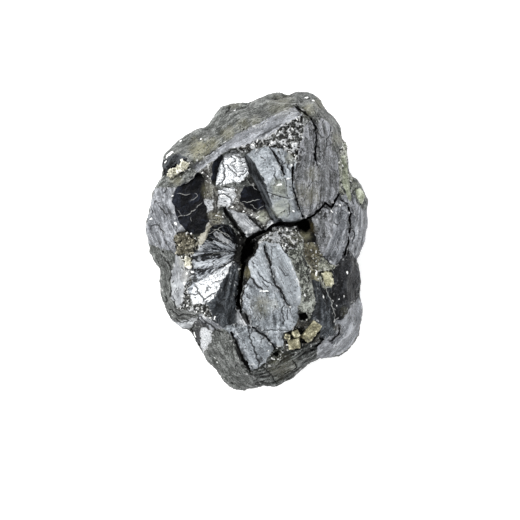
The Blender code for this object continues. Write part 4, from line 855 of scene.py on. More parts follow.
def evened(values, faces, passes):
    """Values at the points, each drawn towards those round it."""
    ends = np.vstack([faces[:, [0, 1]], faces[:, [1, 2]], faces[:, [2, 0]]])
    count = np.bincount(ends.ravel(), minlength=len(values)) + 1.0
    columns = values.reshape(len(values), -1).T.copy()
    for _ in range(passes):
        for i, column in enumerate(columns):
            total = column + np.bincount(ends[:, 0], column[ends[:, 1]], len(column))
            columns[i] = (total + np.bincount(ends[:, 1], column[ends[:, 0]], len(column))) / count
    return columns.T.reshape(values.shape)


def convexity(points, faces, normals, passes):
    """How far each place stands out of what is round it, in mm."""
    return ((points - evened(points, faces, passes)) * normals).sum(axis=1) / MM


def crumbs(points, size):
    """Small tilted facets, as broken crystal has: heights from -1 to 1."""
    tilt_place, level_place, shift = CRUMB_PLACES
    half = Vector((0.5, 0.5, 0.5))
    heights = np.empty(len(points))
    for i, spot in enumerate(points / (size * MM)):
        spot = Vector(spot)
        middle = noise.voronoi(spot)[1][0]
        lean = noise.cell_vector(middle * tilt_place) - half
        level = noise.cell(middle * level_place + Vector(shift)) - 0.5
        heights[i] = CRUMB_LEAN * lean.dot(spot - middle) + level
    return np.clip(heights, -1.0, 1.0)


# ======== the stone

class HeightSheet:
    """The stone's upper surface as heights on a fine sheet, the same with its narrow cracks filled, the
    cracks' lips and the stone's outskirts."""

    def __init__(self, points, faces):
        tree = BVHTree.FromPolygons([Vector(p) for p in points], faces.tolist())
        self.shape = (SHEET_SIZE[1] * PER_SQUARE, SHEET_SIZE[0] * PER_SQUARE)
        self.height = np.zeros(self.shape)
        down = Vector((0.0, 0.0, -1.0))
        for row in range(self.shape[0]):
            y = (SHEET_CENTRE[1] - SHEET_ORIGIN[1] - row / PER_SQUARE) * SQUARE
            for column in range(self.shape[1]):
                x = (SHEET_ORIGIN[0] + column / PER_SQUARE - SHEET_CENTRE[0]) * SQUARE
                spot = tree.ray_cast(Vector((x, y, ABOVE_ALL)), down)[0]
                self.height[row, column] = spot.z if spot else 0.0
        self.filled = self.swept(self.swept(self.height, CRACK_REACH, np.maximum), CRACK_REACH, np.minimum)
        self.lip = self.widened(self.filled - self.height > OPEN_FROM, *LIP_REACH)
        self.outskirts = self.widened(self.height == 0.0, *OUTSKIRTS_REACH)

    @staticmethod
    def swept(field, reach, pick):
        """The highest or lowest value within reach of every place."""
        for axis in (0, 1):
            field = pick.reduce([np.roll(field, step, axis) for step in range(-reach, reach + 1)])
        return field

    def widened(self, marked, reach, blur):
        """1 within reach of the marked places, fading away from there."""
        field = self.swept(marked.astype(float), reach, np.maximum)
        for axis in (0, 1):
            field = sum(np.roll(field, step, axis) for step in range(-blur, blur + 1)) / (2 * blur + 1)
        return field

    def read(self, field, u, v):
        row = np.clip((v - SHEET_ORIGIN[1]) * PER_SQUARE, 0, self.shape[0] - 1).round().astype(int)
        column = np.clip((u - SHEET_ORIGIN[0]) * PER_SQUARE, 0, self.shape[1] - 1).round().astype(int)
        return field[row, column]

    def near_lines(self):
        """Where on the sheet the fine lines run."""
        rows, columns = np.mgrid[0:self.shape[0], 0:self.shape[1]]
        v = SHEET_ORIGIN[1] + rows.ravel() / PER_SQUARE
        u = SHEET_ORIGIN[0] + columns.ravel() / PER_SQUARE
        return line_values(u, v, CRACKS + VEINS + FLECKS, 1.0, 0.0)[0].reshape(self.shape) > LINE_NEAR


def jagged_lines(lines):
    """Drawn lines with the bends of a break."""
    return [(width, jagged(path)) for width, path in lines]


def stone_arrays(node, fineness):
    """The stone's mesh, fine enough for its relief and cut along its lines, and its height sheet."""
    points, faces = triangle_arrays(joined_node(node))
    sheet = HeightSheet(points, faces)
    lines = sheet.near_lines()

    def allowed(middles):
        u, v = sheet_of(middles)
        length = np.where(sheet.read(lines, u, v), LINE_EDGE, UPPER_EDGE)
        length[middles[:, 2] < LOWER_BELOW] = LOWER_EDGE
        length[middles[:, 2] < FOOT_BELOW] = FOOT_EDGE
        return length * MM / fineness

    points, faces = split_long_edges(points, faces, allowed)
    paths = [outline + outline[:1] for outline in (jagged_outline(outline) for _, outline in FACES)]
    paths += [path for _, path in jagged_lines(CRACKS + VEINS + FLECKS)]
    points, faces = cut_along(points, faces, paths)
    return points, faces, sheet


def face_kinds(points, faces):
    """The face of the stone that each triangle belongs to, as an index into the names, and the names."""
    middles = points[faces].mean(axis=1)
    upward = unit(triangle_crosses(points, faces))[:, 2]
    u, v = sheet_of(middles)
    names = list(RELIEF)
    kinds = np.full(len(faces), names.index("belly"))
    upper = (middles[:, 2] > UPPER_FROM) & (upward > LEAST_UPWARD)
    kinds[upper] = names.index("rock")
    for name, outline in FACES:
        kinds[upper & inside(u, v, jagged_outline(outline))] = names.index(name)
    return kinds, names


def border_places(kinds, faces, count):
    """1 where two faces of the stone meet, fading away from it."""
    low = least_at_points(kinds.astype(float), faces, count)
    high = -least_at_points(-kinds.astype(float), faces, count)
    border = evened((low != high).astype(float), faces, PASSES["border"])
    return np.clip(border * BORDER_GAIN, 0.0, 1.0)


def streak_places(points, u, v, name):
    """Places measured along and across a face's streaks, in mm."""
    if name in FAN_FACES:
        du, dv = u - FAN_MIDDLE[0], FAN_MIDDLE[1] - v
        return np.hypot(du, dv) * SQUARE / MM, np.arctan2(dv, du) * FAN_TURN
    angle = math.radians(RELIEF[name].heading)
    x, y, z = points.T / MM
    along, across = x * math.cos(angle) + y * math.sin(angle), y * math.cos(angle) - x * math.sin(angle)
    dip, reach = STREAK_DIP
    return along - dip * z * np.tanh(along / reach), across - dip * z * np.tanh(across / reach)


def relief_heights(points, faces, kinds, names, u, v):
    """How far each place is raised by the lumps, ridges and crumbs of its face, in mm."""
    count = len(points)
    rows = np.array([(RELIEF[name].lump, RELIEF[name].ridge, RELIEF[name].crumb) for name in names])
    lump, ridge, crumb = (least_at_points(rows[kinds, column], faces, count) for column in range(3))
    own = np.zeros(count, int)
    own[faces.ravel()] = np.repeat(kinds, 3)
    height = lump * wavering_sum(points, LUMPS)
    *stretch, length, seed = RIDGES
    for index, name in enumerate(names):
        here = np.flatnonzero((own == index) & (ridge > 0.0))
        if len(here):
            along, across = streak_places(points[here], u[here], v[here], name)
            places = np.column_stack([along, across, np.full(len(here), float(index))]) * stretch
            blades = wavering(places * MM, length, seed)
            height[here] += ridge[here] * (1.0 - 2.0 * np.abs(blades)) * RIDGE_GAIN
    rough = np.flatnonzero(crumb > 0.0)
    height[rough] += crumb[rough] * sum(share * crumbs(points[rough], size) for share, size in CRUMBS)
    return height


def crack_shade_values(points, faces, normals, upper, sheet, u, v):
    """How far down an open crack or pit each place is, 0 to 1: the strength of the painted shade there."""
    sunk = np.where(upper, sheet.read(sheet.filled, u, v) - points[:, 2], 0.0) / MM
    sunk *= 1.0 - eased(sheet.read(sheet.outskirts, u, v), *OUTSKIRTS_FADE)
    upward = eased(evened(normals[:, 2], faces, PASSES["walls"]), *WALL_FADE)
    sunk *= np.where(points[:, 2] < RIM_LEVEL, upward, 1.0)
    return eased(sunk, *CRACK_SHADE_DEPTHS)


def stain_values(points, u, v, upper):
    """How strong each kind of stain is at each place."""
    tear = 0.5 * wavering_sum(points, STAIN_TEAR)
    found = {kind: np.zeros(len(points)) for kind in STAIN_KINDS}
    for kind, stain_u, stain_v, reach, strength in STAINS:
        gap = np.hypot(u - stain_u, v - stain_v) / reach
        found[kind] = np.maximum(found[kind], strength * eased(-gap + tear, *STAIN_EDGE))
    return {kind: np.where(upper, values, 0.0) for kind, values in found.items()}


def add_streak_map(mesh, points, faces, kinds, names):
    """A UV map measured along and across each face's streaks, in mm."""
    u, v = sheet_of(points)
    corners = faces.ravel()
    face_kind = np.repeat(kinds, 3)
    spots = np.zeros((len(corners), 2))
    for index, name in enumerate(names):
        here = face_kind == index
        chosen_points = points[corners[here]]
        if name == "belly":
            along = chosen_points[:, 2] / MM
            across = np.arctan2(chosen_points[:, 1], chosen_points[:, 0]) * BELLY_TURN
        else:
            along, across = streak_places(chosen_points, u[corners[here]], v[corners[here]], name)
        spots[here, 0] = along + MAP_STEP[0] * index
        spots[here, 1] = across + MAP_STEP[1] * index
    layer = mesh.uv_layers.new(name="streaks")
    layer.data.foreach_set("uv", spots.astype(np.float32).ravel())


def dressed_stone(node, fineness, relief, crack_depth, finishes):
    """The stone with its fine relief, its lines and stains as attributes, and a finish for each face."""
    points, faces, sheet = stone_arrays(node, fineness)
    u, v = sheet_of(points)
    kinds, names = face_kinds(points, faces)
    outskirts = sheet.read(sheet.outskirts, u, v)[:, None]
    rounded = evened(points, faces, PASSES["rim"]) - points
    points = points + rounded * outskirts * (points[:, 2:] > ROUNDED_FROM)
    normals = point_normals(points, faces)
    points = points + normals * (RIM_BULGE * outskirts) * (points[:, 2:] > ROUNDED_FROM)
    upper = (points[:, 2] > UPPER_FROM) & (normals[:, 2] > LEAST_UPWARD)
    # how far down an open crack each place is, which sets the painted shade there
    crack_shade = crack_shade_values(points, faces, normals, upper, sheet, u, v)
    lip = np.where(upper, sheet.read(sheet.lip, u, v), 0.0) * (1.0 - crack_shade)
    seam = np.maximum(border_places(kinds, faces, len(points)), LIP_SEAM * lip)

    crack, crack_width = line_values(u, v, jagged_lines(CRACKS), *CRACK_LINE)
    vein, _ = line_values(u, v, jagged_lines(VEINS), *VEIN_LINE)
    fleck = fleck_values(points, u, v, sheet, jagged_lines(FLECKS))
    crack, vein, fleck = (np.where(upper, found, OUTSIDE) for found in (crack, vein, fleck))
    on_crack, on_vein, on_fleck = (np.clip(1.0 + found * 2.0, 0.0, 1.0) for found in (crack, vein, fleck))

    height = relief * relief_heights(points, faces, kinds, names, u, v) * (1.0 - DEEP_CRACK_SMOOTH * crack_shade)
    lip_crumb, size = LIP_CRUMBS
    height += lip * (lip_crumb * crumbs(points, size) + wavering_sum(points, LIP_WAVES) - LIP_SUNK)
    height *= 1.0 - np.maximum(on_crack, np.maximum(on_vein, on_fleck))
    height -= crack_depth * on_crack * (LINE_RELIEF["crack"][0] + LINE_RELIEF["crack"][1] * crack_width)
    height += LINE_RELIEF["vein"] * on_vein + LINE_RELIEF["fleck"] * on_fleck
    height[points[:, 2] < FLAT_BELOW] = 0.0
    points = points + normals * (height * MM)[:, None]

    edge = convexity(points, faces, normals, PASSES["edge"])
    kept = {"crack_shade": crack_shade, "edge": edge, "seam": seam, "crack": crack, "vein": vein, "fleck": fleck,
            **stain_values(points, u, v, upper)}
    mesh = new_mesh("ore_body_dressed", points, faces, kept, SMOOTH_BELOW)
    add_streak_map(mesh, points, faces, kinds, names)
    for look in LOOKS:
        mesh.materials.append(finishes[look])
    slots = np.array([list(LOOKS).index(RELIEF[name].finish) for name in names])
    mesh.polygons.foreach_set("material_index", slots[kinds].astype(np.int32))
    rough = np.array([RELIEF[name].finish in ROUGH for name in names])
    mesh.attributes.new("sharp_face", "BOOLEAN", "FACE").data.foreach_set("value", rough[kinds])
    mesh.update()
    return mesh


# ======== finishes

def seen(colour):
    """A colour as seen, 0 to 255, as the light that it stands for."""
    shares = [part / 255.0 for part in colour]
    return tuple(s / 12.92 if s <= 0.04045 else ((s + 0.055) / 1.055) ** 2.4 for s in shares) + (1.0,)


class Value:
    """What varies over a surface in one finish: sums on it add Math nodes to that finish."""

    def __init__(self, finish, socket):
        self.finish = finish
        self.socket = socket

    def __add__(self, other):
        return self.finish.math("ADD", self, other)

    def __sub__(self, other):
        return self.finish.math("SUBTRACT", self, other)

    def __rsub__(self, other):
        return self.finish.math("SUBTRACT", other, self)

    def __mul__(self, other):
        return self.finish.math("MULTIPLY", self, other)

    __radd__ = __add__
    __rmul__ = __mul__


class Finish:
    """A material being put together, node by node."""

    def __init__(self, name, metallic, roughness):
        self.material = bpy.data.materials.new(name)
        self.material.use_nodes = True
        self.tree = self.material.node_tree
        self.shader = self.tree.nodes["Principled BSDF"]
        self.fill(self.shader, {"Metallic": metallic, "Roughness": roughness})
        self.spot = self.add("ShaderNodeTexCoord", output="Object")

    def fill(self, node, inputs):
        for name, value in inputs.items():
            if isinstance(value, Value):
                self.tree.links.new(value.socket, node.inputs[name])
            else:
                node.inputs[name].default_value = value

    def finished(self, inputs):
        """The material, with what varies over its surface."""
        self.fill(self.shader, inputs)
        return self.material

    def add(self, kind, settings=None, inputs=None, output=0):
        node = self.tree.nodes.new(kind)
        for name, value in (settings or {}).items():
            setattr(node, name, value)
        self.fill(node, inputs or {})
        return Value(self, node.outputs[output])

    def math(self, operation, first, second):
        return self.add("ShaderNodeMath", {"operation": operation}, {0: first, 1: second})

    def vectors(self, operation, first, second):
        return self.add("ShaderNodeVectorMath", {"operation": operation}, {0: first, 1: second})

    def streaks(self, along, across):
        """The streak map, stretched: bumps per mm along and across."""
        spot = self.add("ShaderNodeUVMap", {"uv_map": "streaks"})
        return self.vectors("MULTIPLY", spot, (along, across, 0.0))

    def grain(self, places, scale, detail, roughness, swirl=0.0):
        return self.add("ShaderNodeTexNoise", None, {"Vector": places, "Scale": scale, "Detail": detail,
                                                     "Roughness": roughness, "Distortion": swirl})

    def noise(self, kind):
        return self.grain(self.spot, *NOISES[kind])

    def cells(self, places, feature, output):
        """Irregular cells, one to a unit: how far their borders are, or a shade of each cell's own."""
        return self.add("ShaderNodeTexVoronoi", {"feature": feature, "voronoi_dimensions": "2D"},
                        {"Vector": places, "Scale": 1.0}, output)

    def kept(self, name):
        """A value kept on the mesh."""
        return self.add("ShaderNodeAttribute", {"attribute_name": name}, output="Fac")

    def mark(self, name, value):
        """0 where a value hasn't reached the mark, 1 where it is well past it."""
        low, high = MARKS[name]
        return self.add("ShaderNodeMapRange", {"interpolation_type": "SMOOTHSTEP"},
                        {"Value": value, "From Min": low, "From Max": high})

    def mixed(self, first, second, share):
        return self.add("ShaderNodeMix", {"data_type": "RGBA", "clamp_factor": True},
                        {0: share, 6: first, 7: second}, 2)

    def bumped(self, height, distance, strength):
        inputs = {"Height": height, "Distance": distance, "Strength": strength}
        return self.add("ShaderNodeBump", None, inputs)


class StoneFinish(Finish):
    """A finish of the stone: tone, colour, shade (1 in a black hollow) and height, built up mark by mark."""

    def __init__(self, name, shades):
        look = LOOKS[name]
        super().__init__("ore_" + name, look.metallic, look.roughness)
        self.fill(self.shader, {"Specular IOR Level": DULL.get(name, MIRRORING)})
        self.name = name
        self.look = look
        self.shades = shades
        self.dark, self.middle, self.pale = (seen(colour) for colour in (look.dark, look.middle, look.pale))
        self.broad, self.fine, self.pits = (self.noise(kind) for kind in ("broad", "fine", "pits"))
        self.edge = self.kept("edge")
        self.lay_tones()
        rim = self.lay_plates() if look.plates else None
        self.lay_colours()
        if look.plates:
            # painted highlight along the plates' hairlines
            self.paint(self.pale, rim * 0.55)
        # painted glints along seams and edges
        if name not in NO_EDGE_GLINTS:
            self.lay_edge_glints()
        self.lay_stains()
        if look.glints:
            self.paint(shades["fleck"], self.mark("glints", self.noise("glints")) * look.glints)
        self.darken(self.mark("pits", self.pits) * (0.8 * min(look.grain, 1.0)))
        self.darken(self.kept("seam") * self.mark("seam", self.fine + self.broad * 0.5) * 0.8)
        if look.clefts:
            self.lay_clefts()
        if look.terraces:
            self.lay_terraces()
        self.lay_lines()

    def paint(self, colour, share):
        self.colour = self.mixed(self.colour, colour, share)

    def darken(self, share):
        self.shade = self.math("MAXIMUM", self.shade, share)

    def lay_tones(self):
        """Light and dark by patches, grain and streaks, painted light on convex edges and painted shade in
        hollows, with dark pepper.
        """
        look = self.look
        lines = self.grain(self.streaks(*STREAKS), 1.0, 5.0, 0.75, 0.5)
        # convex edges are painted lighter and hollows darker, as light falls on them
        self.tone = (0.5 + (self.broad - 0.5) * (look.patches * 2.0) + (self.fine - 0.5) * (look.grain * 1.6)
                     + (lines - 0.5) * (look.streaks * 2.4) + self.edge * 2.0)
        # painted shade in concave hollows, broken up by a fine noise
        self.shade = self.mark("hollow", self.edge) * self.mark("shade_breakup", self.fine) * 0.7
        self.darken(self.mark("pepper", self.noise("pepper")) * (0.55 * min(look.grain, 1.4)))
        self.height = (lines * look.streaks + self.fine * look.grain + self.pits * look.grain
                       + self.broad * 2.2)

    def lay_plates(self):
        """Cleavage plates of differing tone with broken hairlines between them; gives the painted highlight
        along the hairlines.
        """
        bend = self.add("ShaderNodeTexNoise", None, {"Vector": self.spot, "Scale": 900.0, "Detail": 3.0}, 1)
        bend = self.vectors("MULTIPLY", self.vectors("SUBTRACT", bend, (0.5, 0.5, 0.5)), PLATE_BEND)
        layout = self.streaks(*(FAN_PLATES if self.name in FAN_FACES else PLATES))
        layout = self.vectors("ADD", layout, bend)
        plate = self.add("ShaderNodeSeparateColor", None, {0: self.cells(layout, "F1", "Color")})
        gap = self.cells(layout, "DISTANCE_TO_EDGE", "Distance")
        self.tone = self.tone + (plate - 0.5) * self.look.plates
        self.height = self.height + plate * self.look.plates
        unbroken = self.mark("unbroken", self.noise("breaks"))
        self.darken(self.mark("hairline", gap) * unbroken * 0.9)
        return self.mark("hairline_highlight", gap) * unbroken

    def lay_colours(self):
        """Dark, middle and pale by tone, and a painted highlight that makes convex edges pale."""
        self.colour = self.mixed(self.dark, self.middle, self.mark("middle", self.tone))
        self.paint(self.pale, self.mark("pale", self.tone))
        # painted highlight: the worn mark makes convex edges pale
        self.paint(self.pale, self.mark("worn", self.edge) * self.mark("edge_highlight_grain", self.fine) * 0.8)

    def lay_edge_glints(self):
        """Painted glints: small bright specks along seams and on metallic convex edges."""
        chips = self.mark("chips", self.noise("chips"))
        glint_places = self.kept("seam") * 0.8 + self.mark("chipped", self.edge) * self.look.metallic
        self.paint(self.shades["fleck"], chips * glint_places)

    def lay_stains(self):
        """The stains, thin enough for the stone to show through."""
        torn = self.mark("torn", self.broad + self.fine * 0.6)
        for kind in STAIN_KINDS:
            stained = self.mixed(self.shades[kind], self.colour, 0.35 + (self.fine - 0.5) * 0.8)
            self.paint(stained, self.kept(kind) * (0.35 + torn * 0.65))

    def lay_clefts(self):
        """Flakes that end in steps, as cleavage does across a face: painted shade at each step, painted
        shading across each flake and a painted highlight on its rim.
        """
        clefts = self.look.clefts
        long = self.grain(self.streaks(*CLEFTS), 1.0, 4.0, 0.55, 0.4)
        flake = self.math("FRACT", long * CLEFT_STEPS, 0.0)
        worn = self.mark("cleft_breakup", self.noise("wear"))
        # painted shade at each step and a painted highlight on its rim, in broken stretches
        self.darken(self.mark("cleft", flake) * worn * (0.8 * clefts))
        self.paint(self.pale, self.mark("cleft_highlight", flake) * worn * (0.75 * clefts))
        self.paint(self.dark, self.mark("cleft_shading", flake) * (0.3 * clefts))
        self.height = self.height - flake * (clefts * 1.2)

    def lay_terraces(self):
        """The terraced growth of the bright mirrors, with painted shading across each terrace and painted
        shade along its step.
        """
        rise = self.grain(self.vectors("MULTIPLY", self.spot, TERRACES), 1.0, 1.6, 0.5) * TERRACE_STEPS
        within = self.math("FRACT", rise, 0.0)
        # painted shading across each terrace, and painted shade along its step
        self.paint(self.dark, self.mark("terrace", within) * 0.6)
        edge = self.mark("terrace_step_shade", within) * self.mark("terrace_breakup", self.broad)
        self.darken(edge * (0.8 * self.look.terraces))
        self.height = self.height + (rise - within) * 0.6

    def lay_lines(self):
        """Veins, flecks and cracks where they were drawn, and painted shade in the open cracks."""
        self.paint(self.shades["vein"], self.mark("vein", self.kept("vein")) * (0.25 + self.fine * 0.8))
        self.paint(self.shades["fleck"], self.mark("fleck", self.kept("fleck") + (self.pits - 0.5) * 3.0))
        # painted shade down in the open cracks, by their depth
        self.darken(self.kept("crack_shade") * 0.95)
        self.darken(self.mark("crack", self.kept("crack")) * 0.95)
        # the painted shade and the dark marks (pepper, pits, hairlines, cracks) all take the hollow colour
        self.paint(self.shades["hollow"], self.shade)


def stone_finish(name, shades):
    """One of the stone's finishes as a material."""
    made = StoneFinish(name, shades)
    return made.finished({
        "Base Color": made.colour,
        "Roughness": made.look.roughness + (made.fine - 0.5) * 0.25 + made.shade * 0.35,
        "Metallic": made.look.metallic * (1.0 - made.shade),
        "Normal": made.bumped(made.height, STONE_BUMP, 0.9),
    })


def crystal_finish(name, dark, middle, pale, metallic, roughness):
    """A crystal's finish: clean faces with fine growth lines, dull pits and a painted highlight on its convex
    edges.
    """
    finish = Finish(name, metallic, roughness)
    broad = finish.noise("crystal")
    fine = finish.noise("crystal_fine")
    growth = finish.grain(finish.vectors("MULTIPLY", finish.spot, GROWTH), 1.0, 2.0, 0.5)
    # convex edges are painted paler, as a highlight
    tone = (broad - 0.5) * 1.6 + (growth - 0.5) * 0.9 + (fine - 0.5) * 0.6 + finish.kept("edge") * 4.0 + 0.5
    colour = finish.mixed(dark, middle, finish.mark("crystal_middle", tone))
    colour = finish.mixed(colour, pale, finish.mark("crystal_pale", tone))
    colour = finish.mixed(colour, dark, finish.mark("crystal_pits", broad * 0.6 + fine * 0.4) * 0.85)
    return finish.finished({
        "Base Color": colour,
        "Roughness": roughness + (fine - 0.5) * 0.3,
        "Normal": finish.bumped(growth + fine * 0.5, CRYSTAL_BUMP, 0.5),
    })


def grain_finish(dark, bright):
    """Broken metallic grains, from black to mirror bright: a random tone each, the brightest a painted glint.
    """
    finish = Finish("ore_grains", 0.6, 0.30)
    shade = finish.kept("shade")
    # random tone of each grain, the brightest ones painted as glints
    colour = finish.mixed(dark, seen(GRAIN_GREY), finish.mark("grey_grain", shade))
    colour = finish.mixed(colour, bright, finish.mark("bright_grain", shade))
    fine = finish.noise("grain")
    return finish.finished({
        "Base Color": finish.mixed(colour, seen(GRAIN_DUST), (fine - 0.35) * 0.9),
        "Roughness": 0.22 + fine * 0.3,
        "Normal": finish.bumped(fine, GRAIN_BUMP, 0.5),
    })


# ======== crystals

def crystal_mesh(node, bevel, wear):
    """A crystal with worn edges, stepped faces and chipped corners."""
    piece = joined_node(node)
    flat, worn = math.radians(FLAT_BELOW_ANGLE), math.radians(WORN_FROM_ANGLE)
    bmesh.ops.dissolve_limit(piece, angle_limit=flat, verts=piece.verts, edges=piece.edges)
    sharp = [edge for edge in piece.edges if edge.is_manifold and edge.calc_face_angle() > worn]
    bmesh.ops.bevel(piece, geom=sharp, offset=bevel, segments=2, profile=0.6, affect="EDGES",
                    clamp_overlap=True)
    points, faces = triangle_arrays(piece)
    points, faces = split_long_edges(points, faces, lambda middles: np.full(len(middles), CRYSTAL_EDGE))
    normals = point_normals(points, faces)
    edge = convexity(points, faces, normals, PASSES["crystal"])
    length, seed, steps_each = CRYSTAL_STEPS
    steps = np.round(wavering(points, length, seed) * steps_each) / steps_each
    step_height, wave_height, crumb_height, made_up = CRYSTAL_RELIEF
    height = wear * (step_height * steps + wave_height * wavering(points, *CRYSTAL_WAVES)
                     + crumb_height * crumbs(points, CRYSTAL_CRUMB)) + made_up
    points = points + normals * (height * MM)[:, None]
    return new_mesh(node.name + "_dressed", points, faces, {"edge": edge}, CRYSTAL_SMOOTH_BELOW)


# ======== grains

def grain_tree():
    """Scatters angular grains over a mesh, as thick as its "grains" value says, each with its own shade."""
    group = bpy.data.node_groups.new("scatter_grains", "GeometryNodeTree")
    face = group.interface
    face.new_socket("Stone", in_out="INPUT", socket_type="NodeSocketGeometry")
    for name, kind in (("Grains per square mm", "NodeSocketFloat"), ("Grain size", "NodeSocketFloat"),
                       ("Seed", "NodeSocketInt"), ("Finish", "NodeSocketMaterial")):
        face.new_socket(name, in_out="INPUT", socket_type=kind)
    face.new_socket("Grains", in_out="OUTPUT", socket_type="NodeSocketGeometry")

    def node(kind, settings=None, inputs=None):
        made = group.nodes.new(kind)
        for name, value in (settings or {}).items():
            setattr(made, name, value)
        for name, value in (inputs or {}).items():
            if isinstance(value, bpy.types.NodeSocket):
                group.links.new(value, made.inputs[name])
            else:
                made.inputs[name].default_value = value
        return made

    def product(first, second):
        return node("ShaderNodeMath", {"operation": "MULTIPLY"}, {0: first, 1: second}).outputs[0]

    start = node("NodeGroupInput").outputs
    thick = node("GeometryNodeInputNamedAttribute", {"data_type": "FLOAT"}, {"Name": "grains"}).outputs[0]
    density = product(product(thick, start["Grains per square mm"]), 1.0 / MM ** 2)
    points = node("GeometryNodeDistributePointsOnFaces", None,
                  {"Mesh": start["Stone"], "Density": density, "Seed": start["Seed"]})
    radius = product(start["Grain size"], 0.5)
    grain = node("GeometryNodeMeshIcoSphere", None, {"Radius": radius, "Subdivisions": 1})
    turn = node("FunctionNodeRandomValue", {"data_type": "FLOAT_VECTOR"},
                {"Min": (0.0, 0.0, 0.0), "Max": (math.tau, math.tau, math.tau), "Seed": start["Seed"]})
    scale = node("FunctionNodeRandomValue", {"data_type": "FLOAT_VECTOR"},
                 {"Min": GRAIN_LEAST, "Max": GRAIN_MOST, "Seed": 4})
    placed = node("GeometryNodeInstanceOnPoints", None, {
        "Points": points.outputs["Points"], "Instance": grain.outputs["Mesh"],
        "Rotation": turn.outputs[0], "Scale": scale.outputs[0]})
    shade = node("FunctionNodeRandomValue", {"data_type": "FLOAT"}, {"Seed": 9})
    shaded = node("GeometryNodeStoreNamedAttribute", {"data_type": "FLOAT", "domain": "INSTANCE"},
                  {"Geometry": placed.outputs[0], "Name": "shade", "Value": shade.outputs[1]})
    whole = node("GeometryNodeRealizeInstances", None, {"Geometry": shaded.outputs[0]})
    finished = node("GeometryNodeSetMaterial", None,
                    {"Geometry": whole.outputs[0], "Material": start["Finish"]})
    node("NodeGroupOutput", None, {"Grains": finished.outputs[0]})
    return group


def read_values(items, name, count, kind):
    """One value of each of a mesh's items."""
    values = np.zeros(count, kind)
    items.foreach_get(name, values)
    return values


def scattered_grains(stone, per_square_mm, size, seed, finish):
    """The grains as one plain mesh of their own."""
    carrier = bpy.data.objects.new("grain_carrier", stone.data.copy())
    bpy.context.scene.collection.objects.link(carrier)
    mesh = carrier.data
    count = len(mesh.vertices)
    finishes = [material.name.removeprefix("ore_") for material in mesh.materials]
    amount = np.array([GRAIN_FACES.get(name, 0.0) for name in finishes])
    slots = read_values(mesh.polygons, "material_index", len(mesh.polygons), np.int32)
    crack_shade = read_values(mesh.attributes["crack_shade"].data, "value", count, np.float32)
    heights = read_values(mesh.vertices, "co", count * 3, np.float32)[2::3]
    faces = read_values(mesh.loops, "vertex_index", len(mesh.loops), np.int32).reshape(-1, 3)
    thick = least_at_points(amount[slots], faces, count)
    thick[heights < GRAINS_FROM] = 0.0
    put_values(mesh, "grains", thick * (1.0 - crack_shade))

    scatter = carrier.modifiers.new("grains", "NODES")
    scatter.node_group = grain_tree()
    wanted = {"Grains per square mm": per_square_mm, "Grain size": size, "Seed": seed, "Finish": finish}
    for item in scatter.node_group.interface.items_tree:
        if item.in_out == "INPUT" and item.name in wanted:
            scatter[item.identifier] = wanted[item.name]
    made = bpy.data.meshes.new_from_object(carrier.evaluated_get(bpy.context.evaluated_depsgraph_get()))
    made.name = "ore_grains"
    bpy.data.objects.remove(carrier)
    return made


# ======== pieces, light and camera

def put_in(item):
    """An object, once it is in the scene."""
    bpy.context.scene.collection.objects.link(item)
    return item


def add_piece(name, mesh, slot, *nodes):
    """Put in a piece that rides on the stone and stands for the nodes given."""
    item = put_in(bpy.data.objects.new(name, mesh))
    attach(item, "root")
    if nodes:
        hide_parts(*nodes)


def add_light(name, power, place, colour):
    lamp = bpy.data.lights.new(name, "AREA")
    lamp.shape = "DISK"
    lamp.size = LAMP_SIZE
    lamp.energy = power
    lamp.color = colour
    item = put_in(bpy.data.objects.new(name, lamp))
    item.location = place
    item.rotation_euler = (-Vector(place)).to_track_quat("-Z", "Y").to_euler()


def set_sky(level):
    world = bpy.data.worlds.new("studio")
    world.use_nodes = True
    nodes = world.node_tree.nodes
    spot = nodes.new("ShaderNodeTexCoord")
    towards = nodes.new("ShaderNodeVectorMath")
    towards.operation = "DOT_PRODUCT"
    towards.inputs[1].default_value = Vector(SKY_BRIGHTEST).normalized()
    fade = nodes.new("ShaderNodeMapRange")
    fade.inputs["From Min"].default_value = SKY_DIM_UNTIL
    fade.inputs["To Min"].default_value = level * SKY_CONTRAST[0]
    fade.inputs["To Max"].default_value = level * SKY_CONTRAST[1]
    links = world.node_tree.links
    links.new(spot.outputs["Generated"], towards.inputs[0])
    links.new(towards.outputs["Value"], fade.inputs["Value"])
    links.new(fade.outputs["Result"], nodes["Background"].inputs["Strength"])
    nodes["Background"].inputs["Color"].default_value = WHITE
    bpy.context.scene.world = world


def floor_mesh(side, glow, colour):
    mesh = bpy.data.meshes.new("floor")
    half = side / 2.0
    mesh.from_pydata([(-half, -half, 0.0), (half, -half, 0.0), (half, half, 0.0), (-half, half, 0.0)], [],
                     [(0, 1, 2, 3)])
    finish = Finish("floor_white", 0.0, 0.9)
    mesh.materials.append(finish.finished({
        "Base Color": finish.mixed(colour, FLOOR_SPECKLE, finish.noise("floor")),
        "Emission Color": WHITE, "Emission Strength": glow}))
    return mesh


def add_camera(distance, view_width):
    lens = bpy.data.cameras.new("camera")
    lens.sensor_width = SENSOR
    lens.lens = SENSOR * distance / view_width
    lens.clip_end = FURTHEST
    camera = put_in(bpy.data.objects.new("camera", lens))
    camera.location = ((VIEW_CENTRE[0] - SHEET_CENTRE[0]) * SQUARE,
                       (SHEET_CENTRE[1] - VIEW_CENTRE[1]) * SQUARE, RIM_LEVEL + distance)
    bpy.context.scene.camera = camera


# ======== add-on

def colour_setting(name, description, shade):
    """A colour that can be set, from how it is seen, 0 to 255."""
    return bpy.props.FloatVectorProperty(name=name, description=description, subtype="COLOR", min=0.0,
                                         max=1.0, default=seen(shade)[:3])


def chosen(shade):
    """A colour that was set, for a node."""
    return (*shade, 1.0)


